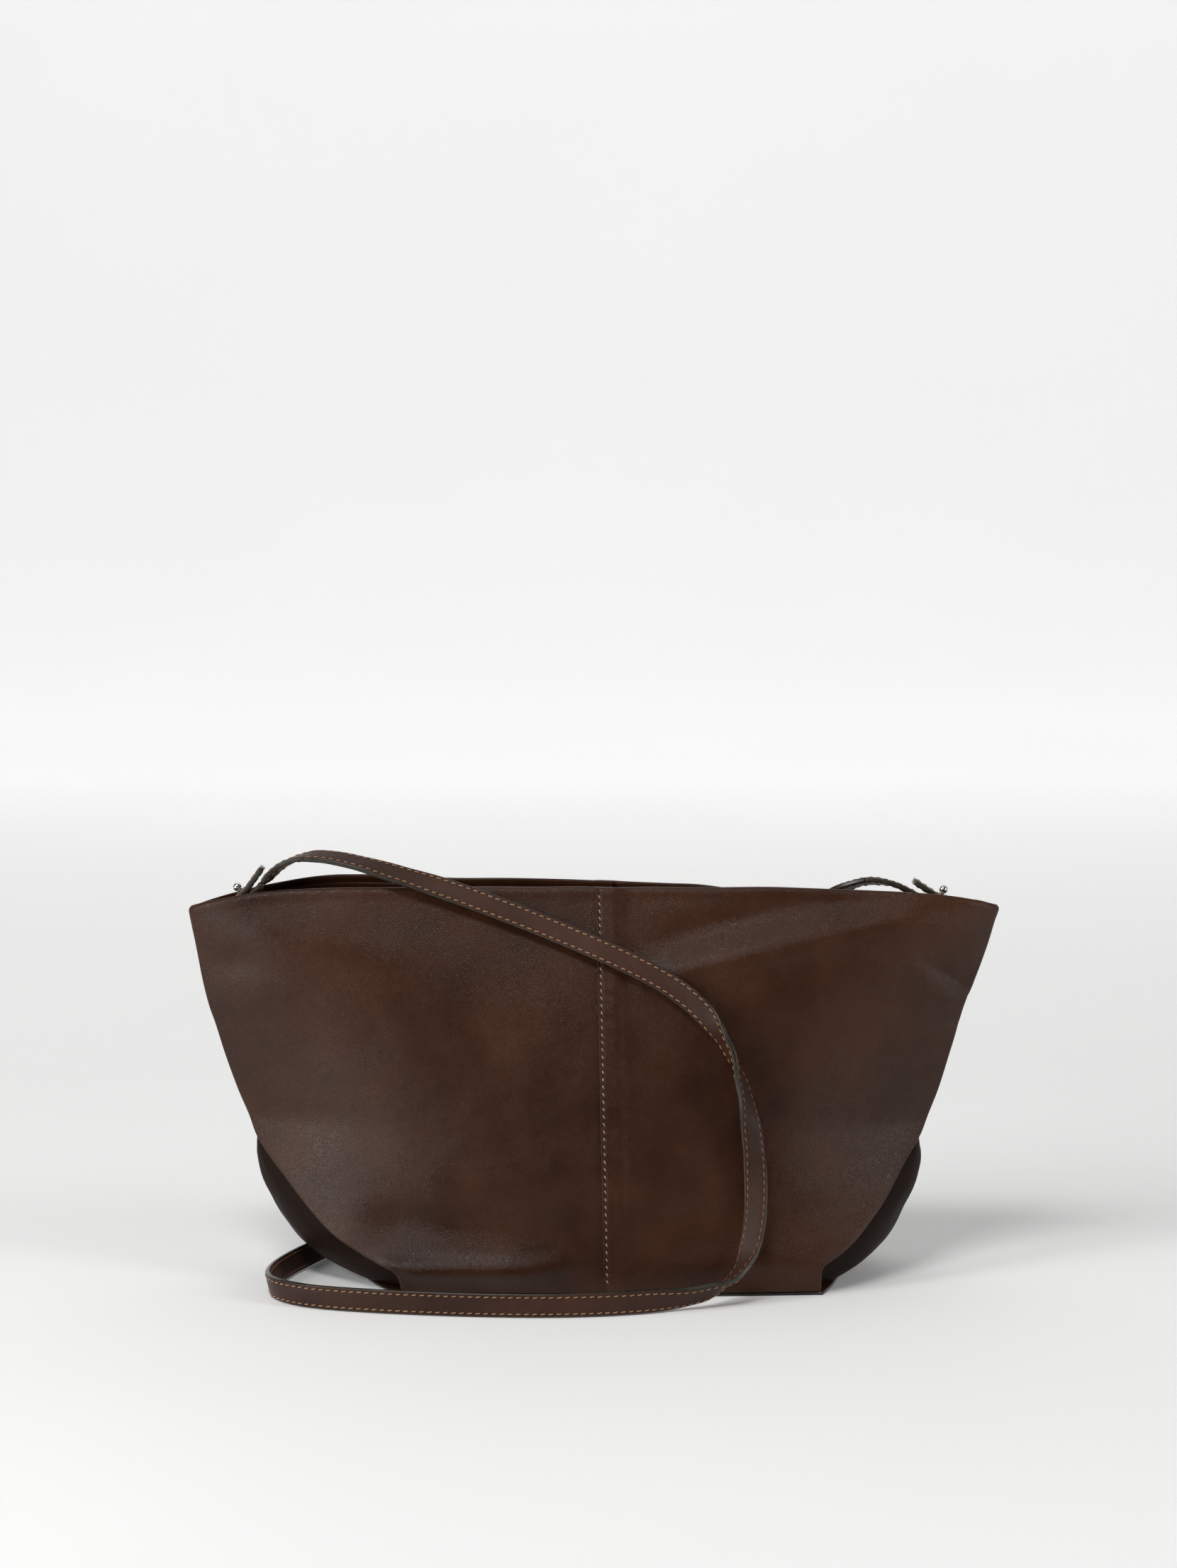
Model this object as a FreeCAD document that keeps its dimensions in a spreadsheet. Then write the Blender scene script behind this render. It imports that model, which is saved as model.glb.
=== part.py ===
"""Crossbody purse: a soft zip-top leather bag on a boarded base, with a long flat strap.

Frame: origin at the middle of the base on the ground, +X along the zip to the right,
+Y to the back, +Z up. Millimetres. The bag's walls are sheets of leather sewn edge to
edge, so most of them are thick sheets lofted from the same table of level sections.
"""
import FreeCAD, Part
import Sketcher
import math
import os
from FreeCAD import Placement, Rotation, Vector

doc = FreeCAD.newDocument("crossbody_purse")

# ---------------------------------------------------------------- driving dimensions
DIMS = {
    "half_span": 190.0,       # half the length of the mouth
    "lip_height": 182.0,      # top edge of the panels in the middle
    "corner_drop": 11.0,      # how much lower the top edge is at its ends
    "half_base": 57.0,        # half depth of the base in the middle
    "end_depth": 53.0,        # half depth of the base at its ends
    "base_corner": 98.0,      # half length of the base's front edge
    "base_end": 113.0,        # half length of the base in the middle of its ends
    "leather": 1.4,
    "base_thick": 1.6,
    "lap": 8.0,               # overlap of the centre seam
    "board_long": 170.0,
    "board_wide": 96.0,
    "board_thick": 2.5,
    "board_round": 8.0,
    "lining_thick": 0.6,
    "facing_thick": 1.2,
    "facing_low": 150.0,
    "tape_level": 171.0,
    "tape_thick": 0.6,
    "tape_in": 2.0,
    "tape_out": 10.6,
    "tape_half": 140.0,
    "teeth_left": -121.6,
    "teeth_right": 126.0,
    "tooth_pitch": 3.0,
    "tooth_wide": 1.2,
    "tooth_reach": 2.6,
    "tooth_tall": 2.0,
    "slider_long": 11.0,
    "slider_half": 4.4,
    "plate_thick": 1.0,
    "hinge_x": -118.0,        # the puller's pivot with the zip closed
    "hinge_z": 176.7,
    "pull_bar": 0.7,
    "tab_long": 12.0,
    "wire": 0.8,              # radius of the rings' wire
    "running": 0.06,          # radial play of the leather round the wire
    "ring_half": 6.0,
    "ring_tall": 6.6,
    "ring_corner": 1.6,
    "strap_wide": 10.0,
    "ply": 2.2,
    "strap_end": 16.0,        # the strap's folded end, from the ring's bar
    "stud_at": 6.6,
    "cord_radius": 3.0,       # round tube of the flat strap's section area
    "bar_left": 170.0,        # the bars that carry the strap, from the middle
    "bar_right": 165.0,
    "bar_z": 173.0,
    "lean_left": 45.0,        # rest directions of the strap's ends, above level
    "lean_right": 22.0,
}

sheet = doc.addObject("Spreadsheet::Sheet", "dims")
for row, (alias, value) in enumerate(DIMS.items(), start=1):
    sheet.set(f"A{row}", alias)
    sheet.set(f"B{row}", str(value))
    sheet.setAlias(f"B{row}", alias)
doc.recompute()


def dim(alias):
    return float(sheet.get(alias))


LEATHER = dim("leather")
GAP = 0.2
NODES = {}


def keep(obj, label):
    """Names the object that is a finished sub-part."""
    obj.Label = label
    NODES[label] = obj
    return obj


def as_feature(label, shape, place=None):
    """A sub-part whose shape is worked out in code from the sheet's sizes."""
    feature = doc.addObject("Part::Feature", label)
    feature.Shape = shape
    feature.Placement = place or Placement()
    return keep(feature, label)


def block(name, long, wide, tall, at):
    """A box with its low corner at a point; each size is a number or a sheet expression."""
    box = doc.addObject("Part::Box", name)
    for side, size in (("Length", long), ("Width", wide), ("Height", tall)):
        if isinstance(size, str):
            box.setExpression(side, size)
        else:
            setattr(box, side, size)
    box.Placement.Base = Vector(*at)
    return box


def rod(name, radius, tall, at, along=Vector(0, 0, 1)):
    """A cylinder from a point along a direction; each size is a number or an expression."""
    cylinder = doc.addObject("Part::Cylinder", name)
    for side, size in (("Radius", radius), ("Height", tall)):
        if isinstance(size, str):
            cylinder.setExpression(side, size)
        else:
            setattr(cylinder, side, size)
    cylinder.Placement = Placement(Vector(*at), Rotation(Vector(0, 0, 1), along))
    return cylinder


def joined(name, parts):
    fuse = doc.addObject("Part::MultiFuse", name)
    fuse.Shapes = parts
    return fuse


def cut(name, base, tool):
    result = doc.addObject("Part::Cut", name)
    result.Base = base
    result.Tool = tool
    return result


# ---------------------------------------------------------------- the bag's level sections
# height, half length at the side edge, half depth at that edge, half depth in the middle,
# and how square the section is in between
LEVELS = [
    (1.8, dim("base_corner"), dim("end_depth"), dim("half_base"), 2.5),
    (10.0, 100.0, 52.5, 58.3, 2.5),
    (20.0, 114.0, 46.5, 58.5, 2.5),
    (32.0, 130.0, 36.0, 57.5, 2.5),
    (46.0, 142.5, 23.5, 55.0, 2.5),
    (62.0, 155.0, 8.0, 51.0, 2.5),
    (78.0, 163.0, 1.8, 46.4, 2.5),
    (96.0, 169.5, 1.8, 41.4, 2.6),
    (114.0, 175.3, 1.8, 36.4, 2.9),
    (132.0, 180.3, 1.8, 30.8, 3.7),
    (150.0, 184.6, 1.8, 24.2, 5.5),
    (166.0, 187.8, 1.8, 17.4, 9.0),
    (dim("lip_height"), dim("half_span"), 1.8, 10.5, 14.0),
]
# the fractions of the half length where a panel's surface is set
ALONG = [0.2, 0.4, 0.58, 0.72, 0.83, 0.91, 0.965, 1.0]
# the gussets: height and how far each bulges in the middle
TONGUE = [(1.8, dim("base_end")), (10.0, 129.0), (20.0, 139.5), (32.0, 147.5),
          (46.0, 154.0), (62.0, 156.5), (68.0, 157.0)]


def level(height):
    """The section at a height, between the rows of the table."""
    for low, high in zip(LEVELS, LEVELS[1:]):
        if height <= high[0]:
            part = (height - low[0]) / (high[0] - low[0])
            return [a + part * (b - a) for a, b in zip(low, high)]
    return list(LEVELS[-1])


def depth(x, row):
    """Half depth of the bag at x on one level."""
    _, edge, fold, middle, square = row
    share = min(abs(x) / edge, 1.0)
    return fold + (middle - fold) * (1 - share**square)


def drop(x):
    """How far the top edge is below its middle at x."""
    return dim("corner_drop") * min(abs(x) / dim("half_span"), 1.0)**6


def panel_point(x, row):
    """A point of the front panel's outer surface: the levels sag towards the corners."""
    sag = drop(x) * (row[0] / dim("lip_height"))**2
    return Vector(x, -depth(x, row), row[0] - sag)


def normals(grid):
    """Unit normals of a grid of points, from the neighbours of each point."""
    rows, columns = len(grid), len(grid[0])
    found = []
    for i in range(rows):
        line = []
        for j in range(columns):
            up = grid[min(i + 1, rows - 1)][j] - grid[max(i - 1, 0)][j]
            side = grid[i][min(j + 1, columns - 1)] - grid[i][max(j - 1, 0)]
            normal = side.cross(up)
            normal.normalize()
            line.append(normal)
        found.append(line)
    return found


def moved(grid, distance):
    """The grid moved along its normals, kept on its own side of the bag's middle plane."""
    result = []
    for line, across in zip(grid, normals(grid)):
        shifted = [point + normal * distance for point, normal in zip(line, across)]
        result.append([Vector(p.x, min(p.y, -GAP), p.z) for p in shifted])
    return result


def thick_sheet(outer, inner):
    """The solid between two grids of points, closed with ruled edges."""
    faces = []
    borders = []
    for grid in (outer, inner):
        surface = Part.BSplineSurface()
        surface.interpolate(grid)
        faces.append(surface.toShape())
        u0, u1, v0, v1 = surface.bounds()
        borders.append([surface.uIso(u0), surface.uIso(u1), surface.vIso(v0), surface.vIso(v1)])
    for near, far in zip(*borders):
        faces.append(Part.makeRuledSurface(near.toShape(), far.toShape()))
    shell = Part.makeShell(faces)
    shell.sewShape()
    solid = Part.makeSolid(shell)
    if solid.Volume < 0:
        solid.reverse()
    return solid


def to_back(shape):
    """The same piece on the other side of the bag's middle plane."""
    return shape.mirror(Vector(), Vector(0, 1, 0))


def to_right(shape):
    return shape.mirror(Vector(), Vector(1, 0, 0))


# ---------------------------------------------------------------- leather panels
def left_panel():
    """From the left side seam to just past the middle, where it lies under the lap."""
    grid = []
    for row in LEVELS:
        xs = [-share * row[1] for share in reversed(ALONG)] + [0.0, dim("lap")]
        grid.append([panel_point(x, row) for x in xs])
    return thick_sheet(grid, moved(grid, -LEATHER))


def right_panel():
    """From the middle to the right side seam, raised by one thickness over the lap."""
    lap = dim("lap")
    rise = LEATHER + 0.5
    grid = []
    for row in LEVELS:
        line = []
        for x, lift in ((0.0, rise), (lap / 2, rise), (lap, rise), (lap + 4, rise / 2)):
            point = panel_point(x, row)
            line.append(point - Vector(0, lift, 0))
        line += [panel_point(share * row[1], row) for share in ALONG]
        grid.append(line)
    return thick_sheet(grid, moved(grid, -LEATHER))


def gusset():
    """The left end's tongue, tucked behind the folded edges of the front and back panels."""
    tuck = 9.0
    clear = LEATHER + 1.3
    grid = []
    for height, bulge in TONGUE:
        row = level(height)
        inset = row[1] - tuck
        half = depth(inset, row) - clear
        line = []
        for step in range(-5, 6):
            share = step / 5
            x = bulge - (bulge - inset) * abs(share)**2.4
            line.append(Vector(-x, -half * share, height))
        grid.append(line)
    inner = [[p + n * -LEATHER for p, n in zip(line, across)]
             for line, across in zip(grid, normals(grid))]
    return thick_sheet(grid, inner)


def base_outline(margin):
    """The base's outline on the ground: four gentle arcs."""
    corner_x = dim("base_corner") - margin
    corner_y = dim("end_depth") - margin
    front = Vector(0, -dim("half_base") + margin, 0)
    end = Vector(dim("base_end") - margin, 0, 0)
    corners = [Vector(-corner_x, -corner_y, 0), Vector(corner_x, -corner_y, 0),
               Vector(corner_x, corner_y, 0), Vector(-corner_x, corner_y, 0)]
    middles = [front, end, -front, -end]
    arcs = [Part.Arc(a, m, b).toShape()
            for a, m, b in zip(corners, middles, corners[1:] + corners[:1])]
    return Part.Wire(arcs)


def base_panel():
    face = Part.Face(base_outline(0.0))
    return face.extrude(Vector(0, 0, dim("base_thick")))


def base_board():
    """The stiffener: a board with round corners lying inside on the base leather."""
    body = doc.addObject("PartDesign::Body", "base_board")
    plane = [f for f in body.Origin.OriginFeatures if f.Role == "XY_Plane"][0]
    sketch = body.newObject("Sketcher::SketchObject", "board_outline")
    sketch.AttachmentSupport = [(plane, "")]
    sketch.MapMode = "FlatFace"
    sketch.setExpression("AttachmentOffset.Base.z", "dims.base_thick + 0.2")
    half_x, half_y = dim("board_long") / 2, dim("board_wide") / 2
    ring = [Vector(-half_x, -half_y, 0), Vector(half_x, -half_y, 0),
            Vector(half_x, half_y, 0), Vector(-half_x, half_y, 0)]
    for start, end in zip(ring, ring[1:] + ring[:1]):
        sketch.addGeometry(Part.LineSegment(start, end), False)
    for side in range(4):
        sketch.addConstraint(Sketcher.Constraint("Coincident", side, 2, (side + 1) % 4, 1))
        kind = "Vertical" if side % 2 else "Horizontal"
        sketch.addConstraint(Sketcher.Constraint(kind, side))
    sketch.addConstraint(Sketcher.Constraint("Symmetric", 0, 1, 1, 2, -1, 1))
    sketch.addConstraint(Sketcher.Constraint("DistanceX", 0, 1, 0, 2, 2 * half_x))
    sketch.addConstraint(Sketcher.Constraint("DistanceY", 1, 1, 1, 2, 2 * half_y))
    sketch.setExpression("Constraints[9]", "dims.board_long")
    sketch.setExpression("Constraints[10]", "dims.board_wide")
    pad = body.newObject("PartDesign::Pad", "board_pad")
    pad.Profile = sketch
    pad.setExpression("Length", "dims.board_thick")
    doc.recompute()
    upright = [f"Edge{n + 1}" for n, edge in enumerate(pad.Shape.Edges)
               if abs(edge.tangentAt(edge.FirstParameter).z) > 0.99]
    corners = body.newObject("PartDesign::Fillet", "board_corners")
    corners.Base = (pad, upright)
    corners.setExpression("Radius", "dims.board_round")
    return keep(body, "base_board")


# ---------------------------------------------------------------- lining, pocket, facings
# height, half length, half depth, and the two powers of each lining section
LINING = [
    (5.0, 103.0, 50.0, 3.0, 0.33),
    (20.0, 132.0, 52.0, 3.0, 0.38),
    (46.0, 145.5, 49.0, 2.2, 0.5),
    (76.0, 153.0, 42.5, 2.4, 0.9),
    (120.0, 166.0, 30.5, 2.5, 1.0),
    (150.0, 163.0, 19.6, 3.5, 1.0),
    (166.0, 157.0, 13.0, 6.0, 1.0),
]


def lining_wire(row, margin):
    """One level of the lining as a closed smooth wire."""
    height, half_x, half_y, power, root = row
    half_x -= margin
    half_y -= margin
    steps = 14
    front = []
    for step in range(1, steps):
        x = -half_x * math.cos(math.pi * step / steps)
        y = half_y * (1 - abs(x / half_x)**power)**root
        front.append(Vector(x, -y, height))
    back = [Vector(p.x, -p.y, height) for p in reversed(front)]
    points = [Vector(-half_x, 0, height)] + front + [Vector(half_x, 0, height)] + back
    curve = Part.BSplineCurve()
    curve.interpolate(points, PeriodicFlag=True)
    return Part.Wire(curve.toShape())


def lining():
    """A sewn sack, open along the zip."""
    thick = dim("lining_thick")
    sack = Part.makeLoft([lining_wire(row, 0.0) for row in LINING], True)
    inside = [(row[0] + thick,) + row[1:] if row is LINING[0] else row for row in LINING]
    hollow = Part.makeLoft([lining_wire(row, thick) for row in inside], True)
    lid = Part.makeBox(400, 60, 2, Vector(-200, -30, LINING[-1][0] - 1))
    return sack.cut(hollow).cut(lid)


def pocket():
    """The slip pocket on the back of the lining."""
    grid = []
    for height, reach in ((48.0, 41.0), (76.0, 34.5), (100.0, 28.6), (120.0, 23.2)):
        grid.append([Vector(x, reach * (1 - (abs(x) / 150)**2.4) - 2.0, height)
                     for x in (-75.0, -50.0, -25.0, 0.0, 25.0, 50.0, 75.0)])
    inner = [[p - Vector(0, 0.8, 0) for p in line] for line in grid]
    return thick_sheet(grid, inner)


def facing():
    """The front strip of leather inside the mouth, that the zip tape is sewn to."""
    rows = [level(dim("facing_low")), level(160.0), level(170.0), level(178.0)]
    low = LEATHER + 2.5 * GAP
    grid = []
    for row in rows:
        xs = [-150, -120, -80, -40, 0, 40, 80, 120, 150]
        grid.append([panel_point(float(x), row) for x in xs])
    return thick_sheet(moved(grid, -low), moved(grid, -low - dim("facing_thick")))


# ---------------------------------------------------------------- zip
def tape():
    """The front tape, from the facing to the teeth."""
    inner, outer = dim("tape_in"), dim("tape_out")
    half = dim("tape_half")
    return Part.makeBox(2 * half, outer - inner, dim("tape_thick"),
                        Vector(-half, -outer, dim("tape_level")))


def teeth(side, shift):
    """One row of teeth as a comb on its tape; side is -1 for the front row."""
    pitch, wide = dim("tooth_pitch"), dim("tooth_wide")
    spine, reach = 3.4 * side, 1.5 * side
    tip = reach - dim("tooth_reach") * side
    start, end = dim("teeth_left"), dim("teeth_right")
    points = [(start, spine), (start, reach)]
    count = int((end - start - pitch) / pitch)
    for n in range(count):
        x = start + pitch * (n + shift + 0.5)
        points += [(x - wide / 2, reach), (x - wide / 2, tip), (x + wide / 2, tip)]
        points += [(x + wide / 2, reach)]
    points += [(end, reach), (end, spine), (start, spine)]
    level_z = dim("tape_level") + dim("tape_thick")
    outline = Part.makePolygon([Vector(x, y, level_z) for x, y in points])
    comb = Part.Face(outline).extrude(Vector(0, 0, dim("tooth_tall")))
    return comb


def slider():
    """Two plates joined by a post, with side flanges and a bail for the puller."""
    long, half, thick = dim("slider_long"), dim("slider_half"), dim("plate_thick")
    x0 = dim("hinge_x") - long / 2
    tall_low = dim("tape_level") - 0.3
    tall_top = dim("tape_level") + dim("tape_thick") + dim("tooth_tall") + 0.3
    size = ("dims.slider_long", "2 * dims.slider_half", "dims.plate_thick")
    bottom = block("slider_bottom", *size, (x0, -half, tall_low - thick))
    top = block("slider_top", *size, (x0, -half, tall_top))
    post = block("slider_post", 1.4, 1.4, tall_top - tall_low + 0.4,
                 (x0 + 0.2, -0.7, tall_low - 0.2))
    flanges = [block(f"slider_flange_{name}", "dims.slider_long", 0.7, 2.0,
                     (x0, y, tall_top - 1.9))
               for name, y in (("front", -half), ("back", half - 0.7))]
    bail_wide = 1.4
    bail_low = tall_top + thick
    bail_tall = dim("hinge_z") + 0.9 + 0.7 - bail_low
    bail = block("bail", 6.4, bail_wide, bail_tall + 0.2,
                 (dim("hinge_x") - 3.2, -bail_wide / 2, bail_low - 0.2))
    eye = block("bail_eye", 4.6, bail_wide + 1, dim("hinge_z") + 0.9 - bail_low,
                (dim("hinge_x") - 2.3, -bail_wide / 2 - 0.5, bail_low))
    body = joined("slider_body", [bottom, top, post] + flanges + [bail])
    return keep(cut("slider_cut", body, eye), "zip_slider")


def puller():
    """A metal link pivoting in the bail, lying towards the closed end."""
    x, z = dim("hinge_x"), dim("hinge_z")
    half = 3.9
    bar = rod("pull_bar_pin", "dims.pull_bar", 2 * half, (x, -half, z), Vector(0, 1, 0))
    arms = [block(f"pull_arm_{name}", 12.0, 1.0, 1.2, (x - 12, y, z - 0.6))
            for name, y in (("front", -half), ("back", half - 1.0))]
    foot = block("pull_foot", 1.6, 2 * half, 1.2, (x - 13.2, -half, z - 0.6))
    return keep(joined("puller_body", [bar] + arms + [foot]), "zip_puller")


def pull_tab():
    """The leather tab looped through the puller's end."""
    x, z = dim("hinge_x") - 12.0, dim("hinge_z")
    strip = block("tab_strip", 14.0, 5.4, 2.0, (x - 12.6, -2.7, z - 1.0))
    slot = block("tab_slot", 2.4, 8.0, 1.3, (x - 1.65, -4.0, z - 0.65))
    return keep(cut("tab_cut", strip, slot), "zip_pull_tab")


def top_stops():
    """Two small clamps on the tapes at the closed end."""
    low = dim("tape_level") + dim("tape_thick")
    stops = [block(f"stop_{name}", 1.8, 2.2, 1.8, (dim("teeth_left") - 4.2, y, low))
             for name, y in (("front", -4.4), ("back", 2.2))]
    return keep(joined("stops", stops), "zip_top_stops")


def bottom_stop():
    """A staple across both tapes at the open end."""
    low = dim("tape_level") + dim("tape_thick")
    staple = block("staple", 3.0, 7.0, 1.6, (dim("teeth_right") + 0.3, -3.5, low))
    return keep(staple, "zip_bottom_stop")


def end_tab(label, x):
    """A folded piece of leather that closes one end of the zip."""
    wide = 14.0
    low = dim("tape_level") - 0.8
    return keep(block(label, "dims.tab_long - 3", wide, 2.2, (x, -wide / 2, low)), label)


# ---------------------------------------------------------------- strap hardware
def bar_place(side):
    """Placement of a strap end: its own +X runs up the strap and +Z to the outside."""
    word = "left" if side < 0 else "right"
    lean = dim(f"lean_{word}")
    along = Vector(-side * math.cos(math.radians(lean)), 0, math.sin(math.radians(lean)))
    outside = Vector(side * along.z, 0, -side * along.x)
    if outside.z < 0:
        outside = -outside
    across = outside.cross(along)
    turn = Rotation(along, across, outside, "XYZ")
    return Placement(Vector(side * dim(f"bar_{word}"), 0, dim("bar_z")), turn)


def ring(label, side):
    """A rectangular wire ring: the low bar turns in the chape, the high one holds the strap."""
    half, tall, bend = dim("ring_half"), dim("ring_tall"), dim("ring_corner")
    near = bend * (1 - math.sqrt(0.5))
    edges = []
    for x, y in ((0, half), (-tall, half), (-tall, -half), (0, -half)):
        inward_x = bend if x else -bend
        inward_y = -bend if y > 0 else bend
        middle = Vector(x + inward_x * near / bend, y + inward_y * near / bend, 0)
        edges.append((Vector(x + inward_x, y, 0), middle, Vector(x, y + inward_y, 0)))
    a, b, c, d = edges
    path = [Part.Arc(a[2], a[1], a[0]), Part.LineSegment(a[0], b[0]),
            Part.Arc(*b), Part.LineSegment(b[2], c[2]),
            Part.Arc(c[2], c[1], c[0]), Part.LineSegment(c[0], d[0]),
            Part.Arc(*d), Part.LineSegment(d[2], a[2])]
    wire = Part.Wire([p.toShape() for p in path])
    circle = Part.Wire(Part.makeCircle(dim("wire"), a[2], Vector(0, 1, 0)))
    return as_feature(label, wire.makePipeShell([circle], True, False), bar_place(side))


def chape(label, side):
    """The leather loop sewn into the side seam that holds the ring."""
    low_bar = bar_place(side).multVec(Vector(-dim("ring_tall"), 0, 0))
    wide = 8.4
    outer = dim("wire") + dim("running") + 1.2
    loop = rod(label + "_loop", outer, wide, (low_bar.x, -wide / 2, low_bar.z), Vector(0, 1, 0))
    tail = block(label + "_tail", 3.2, wide, 16.0, (low_bar.x - 1.6, -wide / 2, low_bar.z - 16))
    eye = rod(label + "_eye", "dims.wire + dims.running", wide + 2,
              (low_bar.x, -wide / 2 - 1, low_bar.z), Vector(0, 1, 0))
    body = joined(label + "_body", [loop, tail])
    return keep(cut(label + "_cut", body, eye), label)


def strap_end(label, side):
    """The folded end of the strap round the ring's high bar, both layers."""
    ply, wide, long = dim("ply"), dim("strap_wide"), dim("strap_end")
    hole = dim("wire") + dim("running")
    outer = hole + ply
    profile = [(0, outer), (4.2, ply), (long, ply), (long, -ply), (4.2, -ply), (0, -outer)]
    points = [Vector(x, -wide / 2, z) for x, z in profile]
    legs = Part.Face(Part.makePolygon(points + points[:1])).extrude(Vector(0, wide, 0))
    loop = Part.makeCylinder(outer, wide, Vector(0, -wide / 2, 0), Vector(0, 1, 0))
    eye = Part.makeCylinder(hole, wide + 2, Vector(0, -wide / 2 - 1, 0), Vector(0, 1, 0))
    slit = [Vector(0, -wide, hole), Vector(4.5, -wide, 0), Vector(0, -wide, -hole)]
    gap = Part.Face(Part.makePolygon(slit + slit[:1])).extrude(Vector(0, 2 * wide, 0))
    stud_hole = Part.makeCylinder(1.3, 20, Vector(dim("stud_at"), 0, -10))
    solid = legs.fuse(loop).removeSplitter().cut(eye).cut(gap).cut(stud_hole)
    return as_feature(label, solid, bar_place(side))


def stud(label, side):
    """A ball stud on the outer face, with a hollow post through both layers."""
    ply, at = dim("ply"), dim("stud_at")
    flange = Part.makeCylinder(2.2, 0.8, Vector(at, 0, ply))
    neck = Part.makeCylinder(1.2, 1.4, Vector(at, 0, ply + 0.7))
    ball = Part.makeSphere(2.0, Vector(at, 0, ply + 3.0))
    post = Part.makeCylinder(1.25, 2 * ply, Vector(at, 0, -ply))
    bore = Part.makeCylinder(0.8, 2 * ply + 0.5, Vector(at, 0, -ply - 0.5))
    solid = flange.fuse([neck, ball, post]).cut(bore)
    return as_feature(label, solid, bar_place(side))


def stud_screw(label, side):
    """The slotted screw that holds the stud from the inner face."""
    ply, at = dim("ply"), dim("stud_at")
    head = Part.makeCylinder(2.4, 0.8, Vector(at, 0, -ply - 0.8))
    stem = Part.makeCylinder(0.75, 2 * ply - 0.4, Vector(at, 0, -ply - 0.1))
    slot = Part.makeBox(8, 0.8, 0.5, Vector(at - 4, -0.4, -ply - 0.9))
    return as_feature(label, head.fuse(stem).cut(slot), bar_place(side))


# ---------------------------------------------------------------- strap
# the middle line of the strap between its two folded ends, from the left to the right
STRAP_ROUTE = [
    (-157.84, 0.0, 185.16), (-154.2, -0.4, 188.8), (-149.0, -1.6, 192.8),
    (-141.5, -4.4, 196.4), (-130.6, -9.0, 198.4), (-113.0, -14.6, 196.4),
    (-92.0, -19.6, 190.6), (-70.0, -22.6, 182.6), (-46.0, -25.6, 173.4),
    (-20.0, -29.6, 163.6), (5.0, -35.0, 154.0), (28.0, -38.6, 143.6),
    (46.5, -41.6, 131.0), (59.0, -45.0, 114.5), (66.5, -49.8, 95.0),
    (70.5, -55.4, 73.0), (72.0, -61.0, 51.0), (70.8, -65.6, 30.5),
    (62.0, -70.0, 14.0), (44.0, -75.4, 6.4), (19.0, -88.0, 4.6),
    (-9.0, -95.0, 4.4), (-40.0, -95.2, 4.4), (-76.0, -91.4, 4.4),
    (-109.0, -85.2, 4.4), (-137.0, -76.4, 4.4), (-153.6, -59.5, 4.4),
    (-154.0, -38.0, 4.4), (-147.2, -17.0, 4.4), (-139.0, 4.0, 4.4),
    (-127.6, 28.0, 4.4), (-107.0, 54.0, 4.4), (-78.0, 72.0, 4.4),
    (-46.0, 79.4, 4.4), (-14.0, 80.4, 4.6), (14.0, 78.2, 7.6),
    (36.0, 72.6, 17.0), (50.0, 68.2, 33.0), (60.0, 63.4, 54.0),
    (68.6, 57.0, 78.0), (77.0, 49.6, 102.0), (85.4, 42.2, 125.0),
    (93.0, 35.4, 146.0), (99.6, 29.4, 164.0), (106.0, 24.0, 177.6),
    (111.5, 17.4, 186.6), (119.6, 11.2, 190.2), (128.6, 6.0, 189.8),
    (137.0, 2.4, 187.0), (143.4, 0.6, 183.2), (149.05, 0.0, 179.5),
]


def round_path(points):
    """Straight runs joined by arcs, each as large as its two runs allow, and the radii."""
    share = 0.45
    path, radii = [], []
    at = points[0]
    for before, corner, after in zip(points, points[1:], points[2:]):
        back, on = before - corner, after - corner
        reach = share * min(back.Length, on.Length)
        back.normalize()
        on.normalize()
        half_turn = (math.pi - back.getAngle(on)) / 2
        radius = reach / math.tan(half_turn)
        start, end = corner + back * reach, corner + on * reach
        centre_way = back + on
        centre_way.normalize()
        to_centre = radius / math.cos(half_turn)
        middle = corner + centre_way * (to_centre - radius)
        path.append(Part.LineSegment(at, start))
        path.append(Part.Arc(start, middle, end))
        radii.append(radius)
        at = end
    path.append(Part.LineSegment(at, points[-1]))
    return Part.Wire([edge.toShape() for edge in path]), radii


def strap():
    """The flat strap's course as a round tube of the same section area."""
    points = [Vector(*point) for point in STRAP_ROUTE]
    wire, radii = round_path(points)
    radius = dim("cord_radius")
    start = Part.Wire(Part.makeCircle(radius, points[0], points[1] - points[0]))
    tube = wire.makePipeShell([start], True, False)
    expected = math.pi * radius**2 * wire.Length
    runs = [(b - a).Length for a, b in zip(points, points[1:])]
    ratios = [max(a / b, b / a) for a, b in zip(runs, runs[1:])]
    print("strap length", round(wire.Length, 1), "volume share", round(tube.Volume / expected, 4))
    print("strap radii", [round(r, 1) for r in radii])
    print("strap runs", round(min(runs), 1), "to", round(max(runs), 1), "ratio", round(max(ratios), 2))
    return tube


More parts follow.
